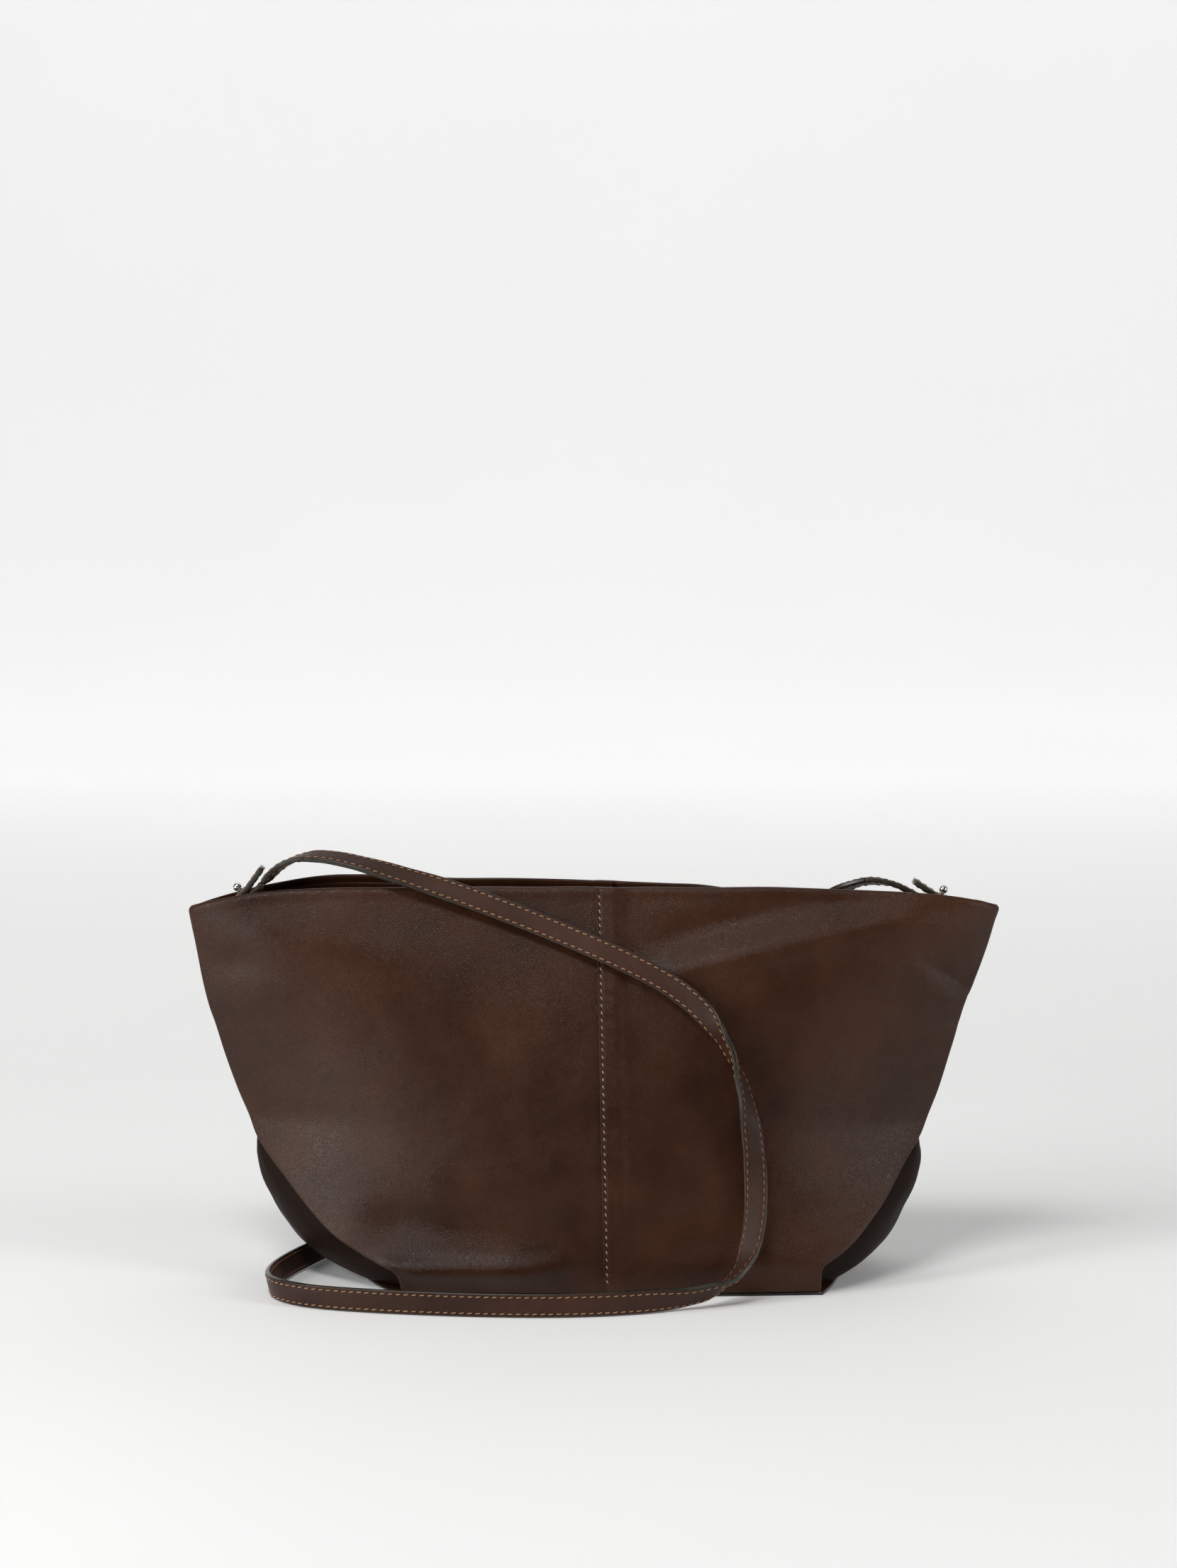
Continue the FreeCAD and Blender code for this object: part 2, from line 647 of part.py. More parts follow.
# ---------------------------------------------------------------- the whole bag
def build():
    left, right = left_panel(), right_panel()
    as_feature("front_left_panel", left)
    as_feature("front_right_panel", right)
    as_feature("back_left_panel", to_back(left))
    as_feature("back_right_panel", to_back(right))
    tongue = gusset()
    as_feature("left_gusset", tongue)
    as_feature("right_gusset", to_right(tongue))
    as_feature("base_panel", base_panel())
    base_board()
    as_feature("lining", lining())
    as_feature("inner_pocket", pocket())
    strip = facing()
    as_feature("front_facing", strip)
    as_feature("back_facing", to_back(strip))
    cloth = tape()
    as_feature("zip_tape_front", cloth)
    as_feature("zip_tape_back", to_back(cloth))
    as_feature("zip_teeth_front", teeth(-1, 0.0))
    as_feature("zip_teeth_back", teeth(1, 0.5))
    slider()
    puller()
    pull_tab()
    top_stops()
    bottom_stop()
    end_tab("zip_end_tab_left", -dim("tape_half") - dim("tab_long") + 2.8)
    end_tab("zip_end_tab_right", dim("tape_half") + 0.2)
    for name, side in (("left", -1), ("right", 1)):
        chape(f"{name}_chape", side)
        ring(f"{name}_ring", side)
        strap_end(f"{name}_strap_end", side)
        stud(f"{name}_stud", side)
        stud_screw(f"{name}_stud_screw", side)
    as_feature("strap", strap())


build()
doc.recompute()

for obj in doc.Objects:
    if "Invalid" in obj.State or "Error" in obj.State:
        raise RuntimeError(f"{obj.Label} failed: {obj.State}")
for label, obj in NODES.items():
    if obj.Shape.isNull() or not obj.Shape.isValid() or not obj.Shape.Solids:
        raise RuntimeError(f"{label} has no sound shape")

os.makedirs("parts", exist_ok=True)
for label, obj in NODES.items():
    obj.Shape.exportStep(f"parts/{label}.step")
    box = obj.Shape.BoundBox
    print(f"{label:20s} {obj.Shape.Volume:10.1f} mm3  "
          f"x {box.XMin:.1f} {box.XMax:.1f}  y {box.YMin:.1f} {box.YMax:.1f}  "
          f"z {box.ZMin:.1f} {box.ZMax:.1f}")
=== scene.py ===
import math
import random

import bmesh
import bpy
import numpy as np
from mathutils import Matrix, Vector, noise


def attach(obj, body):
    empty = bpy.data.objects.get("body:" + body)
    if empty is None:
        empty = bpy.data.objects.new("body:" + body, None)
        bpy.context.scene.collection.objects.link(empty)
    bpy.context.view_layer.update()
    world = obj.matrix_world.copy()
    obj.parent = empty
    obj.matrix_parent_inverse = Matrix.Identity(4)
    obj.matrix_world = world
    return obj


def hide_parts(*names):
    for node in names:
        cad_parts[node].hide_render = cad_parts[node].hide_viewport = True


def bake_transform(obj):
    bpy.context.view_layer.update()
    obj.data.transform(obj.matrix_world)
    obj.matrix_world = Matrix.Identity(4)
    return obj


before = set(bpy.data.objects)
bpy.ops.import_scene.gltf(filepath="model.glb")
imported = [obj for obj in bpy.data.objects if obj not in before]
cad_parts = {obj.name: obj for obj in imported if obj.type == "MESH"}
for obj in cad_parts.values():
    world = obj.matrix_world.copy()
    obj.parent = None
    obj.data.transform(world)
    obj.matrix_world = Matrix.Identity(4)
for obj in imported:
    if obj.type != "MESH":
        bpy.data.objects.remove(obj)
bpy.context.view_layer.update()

# The crossbody purse's looks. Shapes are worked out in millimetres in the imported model's
# frame (+X along the zip, +Y to the back, +Z up) and become metres in new_piece().
MM = 0.001
random.seed(11)


# ---------------- small tools
def smooth(low, high, value):
    """0 below low, 1 above high, and an even ramp between."""
    t = min(max((value - low) / (high - low), 0.0), 1.0)
    return t * t * (3 - 2 * t)


def within(low, full, falls, high, value):
    """1 between full and falls, and an even ramp down to 0 at low and at high."""
    return smooth(low, full, value) * (1 - smooth(falls, high, value))


def hill(value, middle, wide):
    return math.exp(-((value - middle) / wide) ** 2)


def table(rows, key, column):
    """A smooth curve through one column of a table whose first column rises."""
    last = len(rows) - 1
    if key <= rows[0][0]:
        return rows[0][column]
    if key >= rows[last][0]:
        return rows[last][column]
    i = max(n for n in range(last) if rows[n][0] <= key)
    a, b = rows[i], rows[i + 1]
    before, after = rows[max(i - 1, 0)], rows[min(i + 2, last)]
    span = b[0] - a[0]
    t = (key - a[0]) / span
    slope_a = (b[column] - before[column]) / (b[0] - before[0]) * span
    slope_b = (after[column] - a[column]) / (after[0] - a[0]) * span
    return ((2 * t**3 - 3 * t**2 + 1) * a[column] + (t**3 - 2 * t**2 + t) * slope_a
            + (3 * t**2 - 2 * t**3) * b[column] + (t**3 - t**2) * slope_b)


def rough(x, y, z, size, seed):
    """Smooth noise from -1 to 1, with bumps of about the given size."""
    return noise.noise(Vector((x / size + seed * 7.3, y / size, z / size)))


def new_piece(name, points, faces, materials, face_materials=None, body="root"):
    """A piece from points in millimetres. Doubled points are merged."""
    mesh = bpy.data.meshes.new(name)
    mesh.from_pydata((np.asarray(points, float) * MM).tolist(), [], faces)
    for material in materials:
        mesh.materials.append(material)
    if face_materials is not None:
        mesh.polygons.foreach_set("material_index", face_materials)
    built = bmesh.new()
    built.from_mesh(mesh)
    bmesh.ops.remove_doubles(built, verts=built.verts, dist=2e-6)
    bmesh.ops.dissolve_degenerate(built, edges=built.edges, dist=1e-6)
    bmesh.ops.recalc_face_normals(built, faces=built.faces)
    built.to_mesh(mesh)
    built.free()
    mesh.polygons.foreach_set("use_smooth", [True] * len(mesh.polygons))
    mesh.update()
    piece = bpy.data.objects.new(name, mesh)
    bpy.context.scene.collection.objects.link(piece)
    if body:
        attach(piece, body)
    return piece


def dress(slot, *pieces, node=None):
    """Hides the CAD node that the first of the pieces stands for. The slot and the pieces are
    not used.
    """
    if node:
        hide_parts(node)


def band(a, b, count):
    """Quads between two closed rings of points, whose first points are a and b."""
    return [(a + j, a + (j + 1) % count, b + (j + 1) % count, b + j) for j in range(count)]


def tube(rings, corners):
    """Faces of a row of rings of points, closed at both ends."""
    faces = []
    for i in range(rings - 1):
        faces += band(i * corners, (i + 1) * corners, corners)
    last = (rings - 1) * corners
    return faces + [tuple(range(corners)), tuple(range(last, last + corners))]


def unit(vectors):
    length = np.linalg.norm(vectors, axis=-1, keepdims=True)
    return vectors / np.maximum(length, 1e-9)


def slab(name, outer, thick, fullness, materials, mirror=False, limit=None, body="root"):
    """A sheet given by its outer surface, rows by columns. Fullness is 1 inside and falls to 0
    where a border is round. Flat cut borders take the second material. With limit, the
    inner surface keeps that far from the bag's middle plane."""
    outer = np.asarray(outer, float)
    rows, columns = outer.shape[:2]
    thick = np.broadcast_to(np.asarray(thick, float), (rows, columns))[..., None]
    full = np.broadcast_to(np.asarray(fullness, float), (rows, columns))[..., None]
    along = np.gradient(outer, axis=1)
    up = np.gradient(outer, axis=0)
    normal = unit(np.cross(along, up))
    top = outer - normal * thick / 2 * (1 - full)
    low = outer - normal * thick / 2 * (1 + full)
    if limit is not None:
        top[..., 1] = np.minimum(top[..., 1], -limit)
        low[..., 1] = np.minimum(low[..., 1], -limit)
    points = np.concatenate([top.reshape(-1, 3), low.reshape(-1, 3)])
    if mirror:
        points[:, 1] *= -1
    count = rows * columns
    grid = np.arange(count).reshape(rows, columns)
    faces = []
    for a in grid[:-1, :-1].ravel().tolist():
        quad = (a, a + 1, a + columns + 1, a + columns)
        faces += [quad, tuple(p + count for p in reversed(quad))]
    kinds = [0] * len(faces)
    ring = np.concatenate([grid[0], grid[1:, -1], grid[-1, -2::-1], grid[-2:0:-1, 0]]).tolist()
    faces += [(b, a, a + count, b + count) for a, b in zip(ring, ring[1:] + ring[:1])]
    kinds += [len(materials) - 1] * len(ring)
    return new_piece(name, points, faces, materials, kinds, body)


def cap(radius, steps=4):
    """Distances from a round border and the fullness at each, from the border inwards."""
    angles = [math.pi / 2 * n / steps for n in range(steps + 1)]
    return [(radius * (1 - math.cos(a)), math.sin(a)) for a in angles]


def sweep(name, path, normals, section, materials, body="root"):
    """A strip whose section (across, out, material) follows a path. Normals point out of its
    outer face and are squared to the path here. Returns the piece and its frames."""
    path = np.asarray(path, float)
    along = unit(np.gradient(path, axis=0))
    normals = np.asarray(normals, float)
    normals = unit(normals - along * np.sum(normals * along, axis=1, keepdims=True))
    across = unit(np.cross(normals, along))
    a = np.array([[s[0], s[1]] for s in section])
    points = (path[:, None] + across[:, None] * a[None, :, :1]
              + normals[:, None] * a[None, :, 1:2]).reshape(-1, 3)
    kinds = [s[2] for s in section] * (len(path) - 1) + [section[0][2]] * 2
    piece = new_piece(name, points, tube(len(path), len(section)), materials, kinds, body)
    return piece, (path, along, across, normals)


def thread(at, along, out, long, wide, tall):
    """Points and faces of one stitch: a short rounded thread that dips in at both ends."""
    side = np.cross(out, along)
    rings = [(-0.5, -0.5, 0.55), (-0.38, 0.35, 0.9), (0.0, 0.55, 1.0),
             (0.38, 0.35, 0.9), (0.5, -0.5, 0.55)]
    corners = 6
    points = []
    for where, rise, size in rings:
        centre = at + along * where * long + out * rise * tall
        for n in range(corners):
            turn = 2 * math.pi * n / corners
            points.append(centre + side * math.cos(turn) * wide / 2 * size
                          + out * math.sin(turn) * tall / 2 * size)
    return points, tube(len(rings), corners)


def needle_hole_shade(at, along, out, radius):
    """Points and faces of one needle hole: a low lens on the surface, dark as painted shade for
    the hole.
    """
    side = np.cross(out, along)
    turns = [2 * math.pi * n / 8 for n in range(8)]
    rim = [at + (along * math.cos(t) + side * math.sin(t)) * radius for t in turns]
    points = rim + [at + out * 0.03, at - out * 0.1]
    faces = [(n, (n + 1) % 8, 8) for n in range(8)] + [((n + 1) % 8, n, 9) for n in range(8)]
    return points, faces


def along_run(place, run, values):
    """The value at a distance along a line, from its values at the distances in run."""
    return np.array([np.interp(place, run, values[:, c]) for c in range(3)])


def stitches(name, rows, material, pitch=3.64, long=2.3, wide=0.55, tall=0.4, slant=0.15,
             hole=0.0, body="root"):
    """Rows of stitches in one piece, with needle holes between them where hole is their radius:
    dark lenses painted as the holes' shade. A row is points and the directions out of the
    surface."""
    points, faces, kinds = [], [], []
    for line, outs in rows:
        line, outs = np.asarray(line, float), np.asarray(outs, float)
        steps = np.linalg.norm(np.diff(line, axis=0), axis=1)
        run = np.concatenate([[0], np.cumsum(steps)])
        count = int((run[-1] - pitch) / pitch) + 1
        start = (run[-1] - (count - 1) * pitch) / 2
        for n in range(count):
            place = start + n * pitch
            out = unit(along_run(place, run, outs))
            along = along_run(place + 0.8, run, line) - along_run(place - 0.8, run, line)
            along = unit(along - out * np.dot(out, along))
            side = np.cross(out, along)
            lean = slant * (1 + 0.3 * random.uniform(-1, 1))
            along = unit(along * math.cos(lean) + side * math.sin(lean))
            parts = [(*thread(along_run(place, run, line), along, out,
                              long * random.uniform(0.94, 1.05), wide, tall), 0)]
            if hole:
                spot = along_run(place + pitch / 2, run, line)
                parts.append((*needle_hole_shade(spot, along, out, hole), 1))
            for part_points, part_faces, kind in parts:
                base = len(points)
                points += part_points
                faces += [tuple(p + base for p in face) for face in part_faces]
                kinds += [kind] * len(part_faces)
    return new_piece(name, points, faces, [material, NEEDLE_HOLE_SHADE] if hole else [material],
                     kinds, body)


# ---------------- materials
def linear(*rgb):
    """A colour from 0 to 255 in each channel, as the shaders take it."""
    values = [c / 255 for c in rgb]
    return [c / 12.92 if c <= 0.04045 else ((c + 0.055) / 1.055) ** 2.4 for c in values] + [1]


class Shader:
    """A Principled material and short ways to wire its nodes."""

    def __init__(self, name, **sockets):
        self.material = bpy.data.materials.new(name)
        self.material.use_nodes = True
        self.tree = self.material.node_tree
        self.main = self.tree.nodes["Principled BSDF"]
        for key, value in sockets.items():
            self.main.inputs[key.replace("_", " ")].default_value = value
        self.place = self.node("ShaderNodeTexCoord").outputs["Object"]

    def node(self, kind, settings=(), **inputs):
        made = self.tree.nodes.new(kind)
        for key, value in settings:
            setattr(made, key, value)
        for key, value in inputs.items():
            socket = made.inputs[int(key[1:]) if key[0] == "i" and key[1:].isdigit()
                                 else key.replace("_", " ")]
            if isinstance(value, bpy.types.NodeSocket):
                self.tree.links.new(value, socket)
            else:
                socket.default_value = value
        return made

    def stretched(self, x, y, z):
        return self.node("ShaderNodeMapping", Vector=self.place, Scale=(x, y, z)).outputs[0]

    def noise(self, scale, detail=3.0, rough=0.5, place=None):
        return self.node("ShaderNodeTexNoise", Vector=place or self.place, Scale=scale,
                         Detail=detail, Roughness=rough).outputs["Fac"]

    def cells(self, scale):
        return self.node("ShaderNodeTexVoronoi", [("feature", "DISTANCE_TO_EDGE")],
                         Vector=self.place, Scale=scale).outputs["Distance"]

    def ramp(self, fac, stops):
        made = self.node("ShaderNodeValToRGB", Fac=fac)
        ramp = made.color_ramp
        while len(ramp.elements) < len(stops):
            ramp.elements.new(0.5)
        for element, (where, colour) in zip(ramp.elements, stops):
            element.position = where
            element.color = colour
        return made.outputs["Color"]

    def grey(self, fac, low, high, a=0.0, b=1.0):
        """Maps a value's range low..high to a..b."""
        return self.node("ShaderNodeMapRange", i0=fac, i1=low, i2=high, i3=a, i4=b).outputs[0]

    def mix(self, fac, a, b):
        return self.node("ShaderNodeMix", [("data_type", "RGBA")], i0=fac, i6=a,
                         i7=b).outputs[2]

    def wave(self, way, scale, distortion):
        return self.node("ShaderNodeTexWave", [("bands_direction", way)], Vector=self.place,
                         Scale=scale, Distortion=distortion).outputs["Fac"]

    def math(self, operation, a, b):
        return self.node("ShaderNodeMath", [("operation", operation)], i0=a, i1=b).outputs[0]

    def bump(self, heights):
        """Heights is a list of (height, strength, distance in mm), each on the one before."""
        normal = None
        for height, strength, distance in heights:
            extra = {"Normal": normal} if normal else {}
            normal = self.node("ShaderNodeBump", Height=height, Strength=strength,
                               Distance=distance * MM, **extra).outputs[0]
        self.tree.links.new(normal, self.main.inputs["Normal"])

    def feed(self, socket, value):
        self.tree.links.new(value, self.main.inputs[socket])

    def done(self, colour, roughness, heights):
        """Wires up the three things every surface has, and gives the material."""
        self.feed("Base Color", colour)
        self.feed("Roughness", roughness)
        self.bump(heights)
        return self.material


def leather(name, deep, mid, light, grain=1500.0, gloss=0.3, seed=0.0, shine=0.22):
    """Dyed leather: cloudy colour, fine pebbled grain, soft uneven gloss."""
    s = Shader(name, Specular_IOR_Level=shine, Coat_Weight=0.03, Coat_Roughness=0.25,
               Sheen_Weight=0.01, Sheen_Roughness=0.5, Sheen_Tint=linear(196, 176, 160))
    shifted = s.node("ShaderNodeMapping", Vector=s.place, Location=(seed, seed, 0)).outputs[0]
    clouds = s.noise(16.0, 4.0, 0.55, shifted)
    blotch = s.noise(70.0, 3.0, 0.6, shifted)
    specks = s.noise(900.0, 2.0, 0.6)
    pebble = s.cells(grain)
    base = s.ramp(clouds, [(0.3, deep), (0.52, mid), (0.74, light)])
    base = s.mix(s.grey(blotch, 0.35, 0.7, 0.0, 0.35), base, light)
    base = s.mix(s.grey(specks, 0.45, 0.7, 0.0, 0.45), base, deep)
    base = s.mix(s.grey(pebble, 0.0, 0.14, 0.4, 0.0), base, deep)
    heights = [(s.noise(160.0), 0.25, 0.5), (s.grey(pebble, 0.0, 0.3), 0.45, 0.12),
               (s.noise(2600.0, 2.0, 0.6), 0.25, 0.06)]
    return s.done(base, s.grey(blotch, 0.25, 0.75, gloss - 0.03, gloss + 0.08), heights)


def painted_edge(name, dark, light):
    """Edge paint: a satin bead with long streaks."""
    s = Shader(name, Specular_IOR_Level=0.4, Coat_Weight=0.15, Coat_Roughness=0.25)
    streaks = s.noise(240.0, 3.0, 0.6)
    fine = s.noise(1400.0, 2.0, 0.5)
    base = s.ramp(streaks, [(0.3, dark), (0.7, light)])
    return s.done(s.mix(s.grey(fine, 0.45, 0.7, 0.0, 0.5), base, dark),
                  s.grey(streaks, 0.3, 0.7, 0.24, 0.4), [(streaks, 0.3, 0.2), (fine, 0.2, 0.08)])


def thread_material(name, dark, light):
    s = Shader(name, Specular_IOR_Level=0.35, Sheen_Weight=0.3, Sheen_Roughness=0.4)
    twist = s.wave("DIAGONAL", 900.0, 1.0)
    worn = s.noise(120.0, 2.0)
    base = s.ramp(twist, [(0.15, dark), (0.75, light)])
    return s.done(s.mix(s.grey(worn, 0.4, 0.75, 0.0, 0.35), base, dark),
                  s.grey(twist, 0.0, 1.0, 0.75, 0.55), [(twist, 0.5, 0.08)])


def cloth(name, dark, light, threads=420.0, gloss=0.85):
    """Plain weave from two crossed waves, with slubs."""
    s = Shader(name, Specular_IOR_Level=0.25, Sheen_Weight=0.2, Sheen_Roughness=0.5)
    warp, weft, cross = [s.wave(way, threads, 0.4) for way in "XZY"]
    weave = s.math("MULTIPLY", s.math("MAXIMUM", warp, weft), s.grey(cross, 0, 1, 0.6, 1.0))
    slub = s.noise(300.0, 3.0, 0.6)
    base = s.ramp(weave, [(0.1, dark), (0.8, light)])
    return s.done(s.mix(s.grey(slub, 0.4, 0.7, 0.0, 0.3), base, dark),
                  s.grey(slub, 0.2, 0.8, gloss - 0.08, gloss + 0.08),
                  [(weave, 0.5, 0.12), (slub, 0.2, 0.2)])


def metal(name, colour, worn, gloss):
    """Plated metal with faint cloudiness and fine brushing."""
    s = Shader(name, Metallic=1.0)
    clouds = s.noise(180.0, 3.0, 0.6)
    brushed = s.noise(500.0, 2.0, 0.6, s.stretched(1, 8, 1))
    return s.done(s.mix(s.grey(clouds, 0.45, 0.8, 0.0, 0.6), colour, worn),
                  s.grey(brushed, 0.3, 0.7, gloss, gloss + 0.14), [(brushed, 0.08, 0.05)])


def pressed_board(name):
    s = Shader(name, Specular_IOR_Level=0.2)
    fibre = s.noise(260.0, 4.0, 0.65, s.stretched(0.35, 1, 1))
    fleck = s.noise(1200.0, 2.0, 0.6)
    base = s.ramp(fibre, [(0.3, linear(84, 70, 54)), (0.7, linear(128, 110, 88))])
    return s.done(s.mix(s.grey(fleck, 0.55, 0.75, 0, 0.6), base, linear(58, 48, 38)),
                  s.grey(fibre, 0.2, 0.8, 0.82, 0.95), [(fibre, 0.4, 0.2)])


BODY_LEATHER = leather("bag_leather", linear(39, 19, 9), linear(54, 29, 15),
                       linear(71, 41, 23), shine=0.2)
# the gussets: the bag's own leather, darkened as painted shade for the deep fold they sit in
GUSSET_SHADED_LEATHER = leather("gusset_leather_painted_shade", linear(20, 11, 7), linear(30, 17, 11),
                        linear(44, 27, 19), gloss=0.55, seed=3.0, shine=0.06)
STRAP_OUTER = leather("strap_outer_leather", linear(42, 22, 14), linear(58, 33, 22),
                      linear(76, 46, 32), grain=1900.0, gloss=0.4, seed=5.0)
STRAP_BACK = leather("strap_back_leather", linear(38, 23, 16), linear(52, 33, 24),
                     linear(70, 48, 36), grain=1700.0, gloss=0.5, seed=9.0)
EDGE_PAINT = painted_edge("edge_paint", linear(28, 24, 16), linear(52, 46, 33))
# edge paint of the cut edges, the lap's, the gussets' and the base's: its own dark colour, made
# darker still as painted shade along the lap's cut edge
SEAM_PAINT_AND_SHADE = painted_edge("seam_edge_paint_and_shade", linear(15, 12, 8), linear(30, 25, 17))
TAN_THREAD = thread_material("tan_thread", linear(118, 84, 54), linear(190, 146, 102))
SEAM_THREAD = thread_material("seam_thread", linear(124, 86, 66), linear(204, 156, 128))
# needle holes: near-black, as painted shade for the holes
NEEDLE_HOLE_SHADE = painted_edge("needle_hole_shade", linear(12, 9, 7), linear(22, 16, 12))
COPPER_THREAD = thread_material("copper_thread", linear(96, 54, 32), linear(156, 98, 62))
LINING_CLOTH = cloth("lining_cloth_weave", linear(92, 74, 56), linear(150, 126, 100))
TAPE_CLOTH = cloth("zip_tape_weave", linear(30, 22, 17), linear(58, 44, 34), 620.0)
BRASS = metal("antique_brass", linear(186, 150, 92), linear(120, 92, 54), 0.26)
CHROME = metal("polished_nickel", linear(214, 212, 208), linear(160, 158, 154), 0.12)
BOARD = pressed_board("pressed_board")

# ---------------- camera
LENS = 85.0
CAMERA_AT = (0.0, -1.7146, 0.4128)
PITCH = math.radians(-6.094)
YAW = math.radians(0.1646)

camera_data = bpy.data.cameras.new("camera")
camera_data.lens = LENS
camera_data.sensor_width = 36.0
camera_data.clip_end = 50.0
camera = bpy.data.objects.new("camera", camera_data)
camera.location = CAMERA_AT
camera.rotation_euler = (math.pi / 2 + PITCH, 0.0, YAW)
bpy.context.scene.collection.objects.link(camera)
bpy.context.scene.camera = camera

# ---------------- strap
STRAP_WIDE = 10.7
END_WIDE = 10.0            # the ends, where they pass through their rings
STRAP_THICK = 2.4
ROW_IN = 1.6               # from the strap's edge to its stitches
# the strap's middle line from the left ring round to the right one
ROUTE = [
    (-156.4, 0.0, 183.7), (-153.0, -0.1, 187.4), (-148.6, -0.4, 191.3),
    (-141.8, -2.2, 195.2), (-130.8, -5.0, 196.9), (-114.6, -8.6, 194.7),
    (-93.0, -12.6, 188.8), (-70.0, -16.0, 182.1), (-46.0, -18.8, 173.8),
    (-20.0, -22.4, 163.9), (5.0, -27.4, 153.9), (28.0, -30.6, 143.2),
    (46.5, -36.0, 131.0), (59.0, -43.0, 114.1), (66.5, -46.0, 94.3),
    (70.5, -48.6, 71.7), (72.0, -53.6, 49.6), (70.8, -60.6, 29.6),
    (63.5, -69.6, 11.8), (46.6, -79.6, 6.2), (19.0, -89.8, 5.8),
    (-9.0, -95.0, 5.7), (-40.0, -95.2, 5.6), (-76.0, -91.4, 5.6),
    (-109.0, -85.2, 5.6), (-134.6, -76.8, 5.6), (-150.8, -60.5, 5.6),
    (-150.8, -38.8, 5.6), (-145.6, -17.8, 5.6), (-137.4, 3.2, 5.6),
    (-127.6, 28.0, 5.6), (-107.0, 54.0, 5.6), (-78.0, 72.0, 5.6),
    (-46.0, 79.4, 5.6), (-14.0, 80.4, 5.8), (14.0, 77.2, 8.6),
    (36.0, 71.6, 18.0), (50.0, 66.2, 34.0), (60.0, 60.4, 54.0),
    (68.6, 53.6, 78.0), (77.0, 46.4, 102.0), (85.4, 39.2, 125.0),
    (93.0, 32.4, 146.0), (99.6, 25.4, 162.0), (105.0, 19.6, 171.6),
    (112.0, 12.0, 177.9), (119.9, 6.4, 182.4), (128.6, 2.8, 184.2),
    (137.4, 0.8, 183.0), (144.0, 0.0, 180.0), (148.3, 0.0, 177.5),
]
# which way the strap's outer face looks, by number of the route point
FACING = [
    (0, (-0.71, 0.1, 0.71)), (1, (-0.66, 0.25, 0.7)), (2, (-0.5, 0.2, 0.85)),
    (3, (-0.2, 0.0, 0.98)),
    (4, (-0.05, -0.28, 0.96)), (5, (0.0, -0.38, 0.92)), (6, (0.0, -0.62, 0.78)),
    (7, (0.0, -0.86, 0.51)), (8, (0.0, -0.93, 0.36)), (11, (0.0, -0.93, 0.36)),
    (12, (-0.3, -0.93, 0.2)), (13, (-0.85, -0.42, -0.3)), (14, (-0.88, 0.45, -0.15)),
    (15, (-0.35, 0.94, 0.0)), (16, (0.05, 1.0, 0.0)), (17, (0.35, 0.93, 0.0)),
    (18, (0.78, 0.25, -0.57)), (19, (0.42, -0.72, -0.55)), (20, (0.1, -0.98, -0.1)),
    (21, (0.0, -1.0, 0.0)), (22, (-0.05, -1.0, 0.0)), (24, (-0.3, -0.95, 0.0)),
    (25, (-0.5, -0.87, -0.05)), (26, (-0.91, -0.4, -0.2)), (27, (-0.97, 0.16, -0.3)),
    (29, (-0.92, 0.39, -0.3)), (30, (-0.84, 0.54, -0.2)), (31, (-0.66, 0.75, -0.1)),
    (32, (-0.38, 0.92, 0.0)), (34, (0.05, 1.0, 0.0)), (36, (0.1, 0.99, 0.1)),
    (42, (0.0, 0.93, 0.36)), (44, (-0.1, 0.86, 0.5)), (45, (-0.25, 0.5, 0.83)),
    (46, (-0.2, 0.3, 0.93)), (47, (0.05, 0.28, 0.96)), (48, (0.25, 0.12, 0.96)),
    (50, (0.375, 0.0, 0.927)),
]
LEAD = 24.0               # length of the strap at each end by its ring, made as a piece of its own


def strap_section(wide=STRAP_WIDE):
    """Two plies with painted, rounded edges and a shallow groove under each stitch row."""
    half, deep = wide / 2, STRAP_THICK / 2
    outline = [(half, 0.4), (half - 0.12, 0.8), (half - 0.4, deep - 0.12), (half - 1.1, deep),
               (half - 1.6, deep - 0.14), (half - 2.1, deep), (half - 3.4, deep + 0.06),
               (0.0, deep + 0.08)]
    outline += [(-x, y) for x, y in reversed(outline[:-1])]
    painted = [1] * 2 + [0] * 10 + [1] * 3
    face = [(x, y, paint) for (x, y), paint in zip(outline, painted)]
    under = [(-x, -y, 1 if paint else 2) for x, y, paint in face]
    return face + [(0.14 - half, 0.0, 1)] + under + [(half - 0.14, 0.0, 1)]


def route_line():
    """Points along the route's own smooth spline."""
    curve = bpy.data.curves.new("route", "CURVE")
    curve.dimensions = "3D"
    spline = curve.splines.new("NURBS")
    spline.points.add(len(ROUTE) - 1)
    for point, place in zip(spline.points, ROUTE):
        point.co = (*place, 1.0)
    spline.order_u = 3
    spline.use_endpoint_u = True
    spline.resolution_u = 12
    holder = bpy.data.objects.new("route", curve)
    bpy.context.scene.collection.objects.link(holder)
    bpy.context.view_layer.update()
    line = bpy.data.meshes.new_from_object(holder)
    points = np.array([v.co for v in line.vertices], float)
    bpy.data.objects.remove(holder)
    bpy.data.curves.remove(curve)
    bpy.data.meshes.remove(line)
    return points


def strap_normals(count):
    """The outer face's direction at each point of the spline."""
    spans = len(ROUTE) - 2
    keys = [key for key, _ in FACING]
    outs = np.array([out for _, out in FACING])
    found = []
    for n in range(count):
        place = n / (count - 1) * spans + 0.5
        place = 0.0 if n == 0 else place
        i = int(np.searchsorted(keys, place, side="right")) - 1
        i = min(max(i, 0), len(keys) - 2)
        t = smooth(keys[i], keys[i + 1], place)
        found.append(outs[i] * (1 - t) + outs[i + 1] * t)
    return np.array(found)


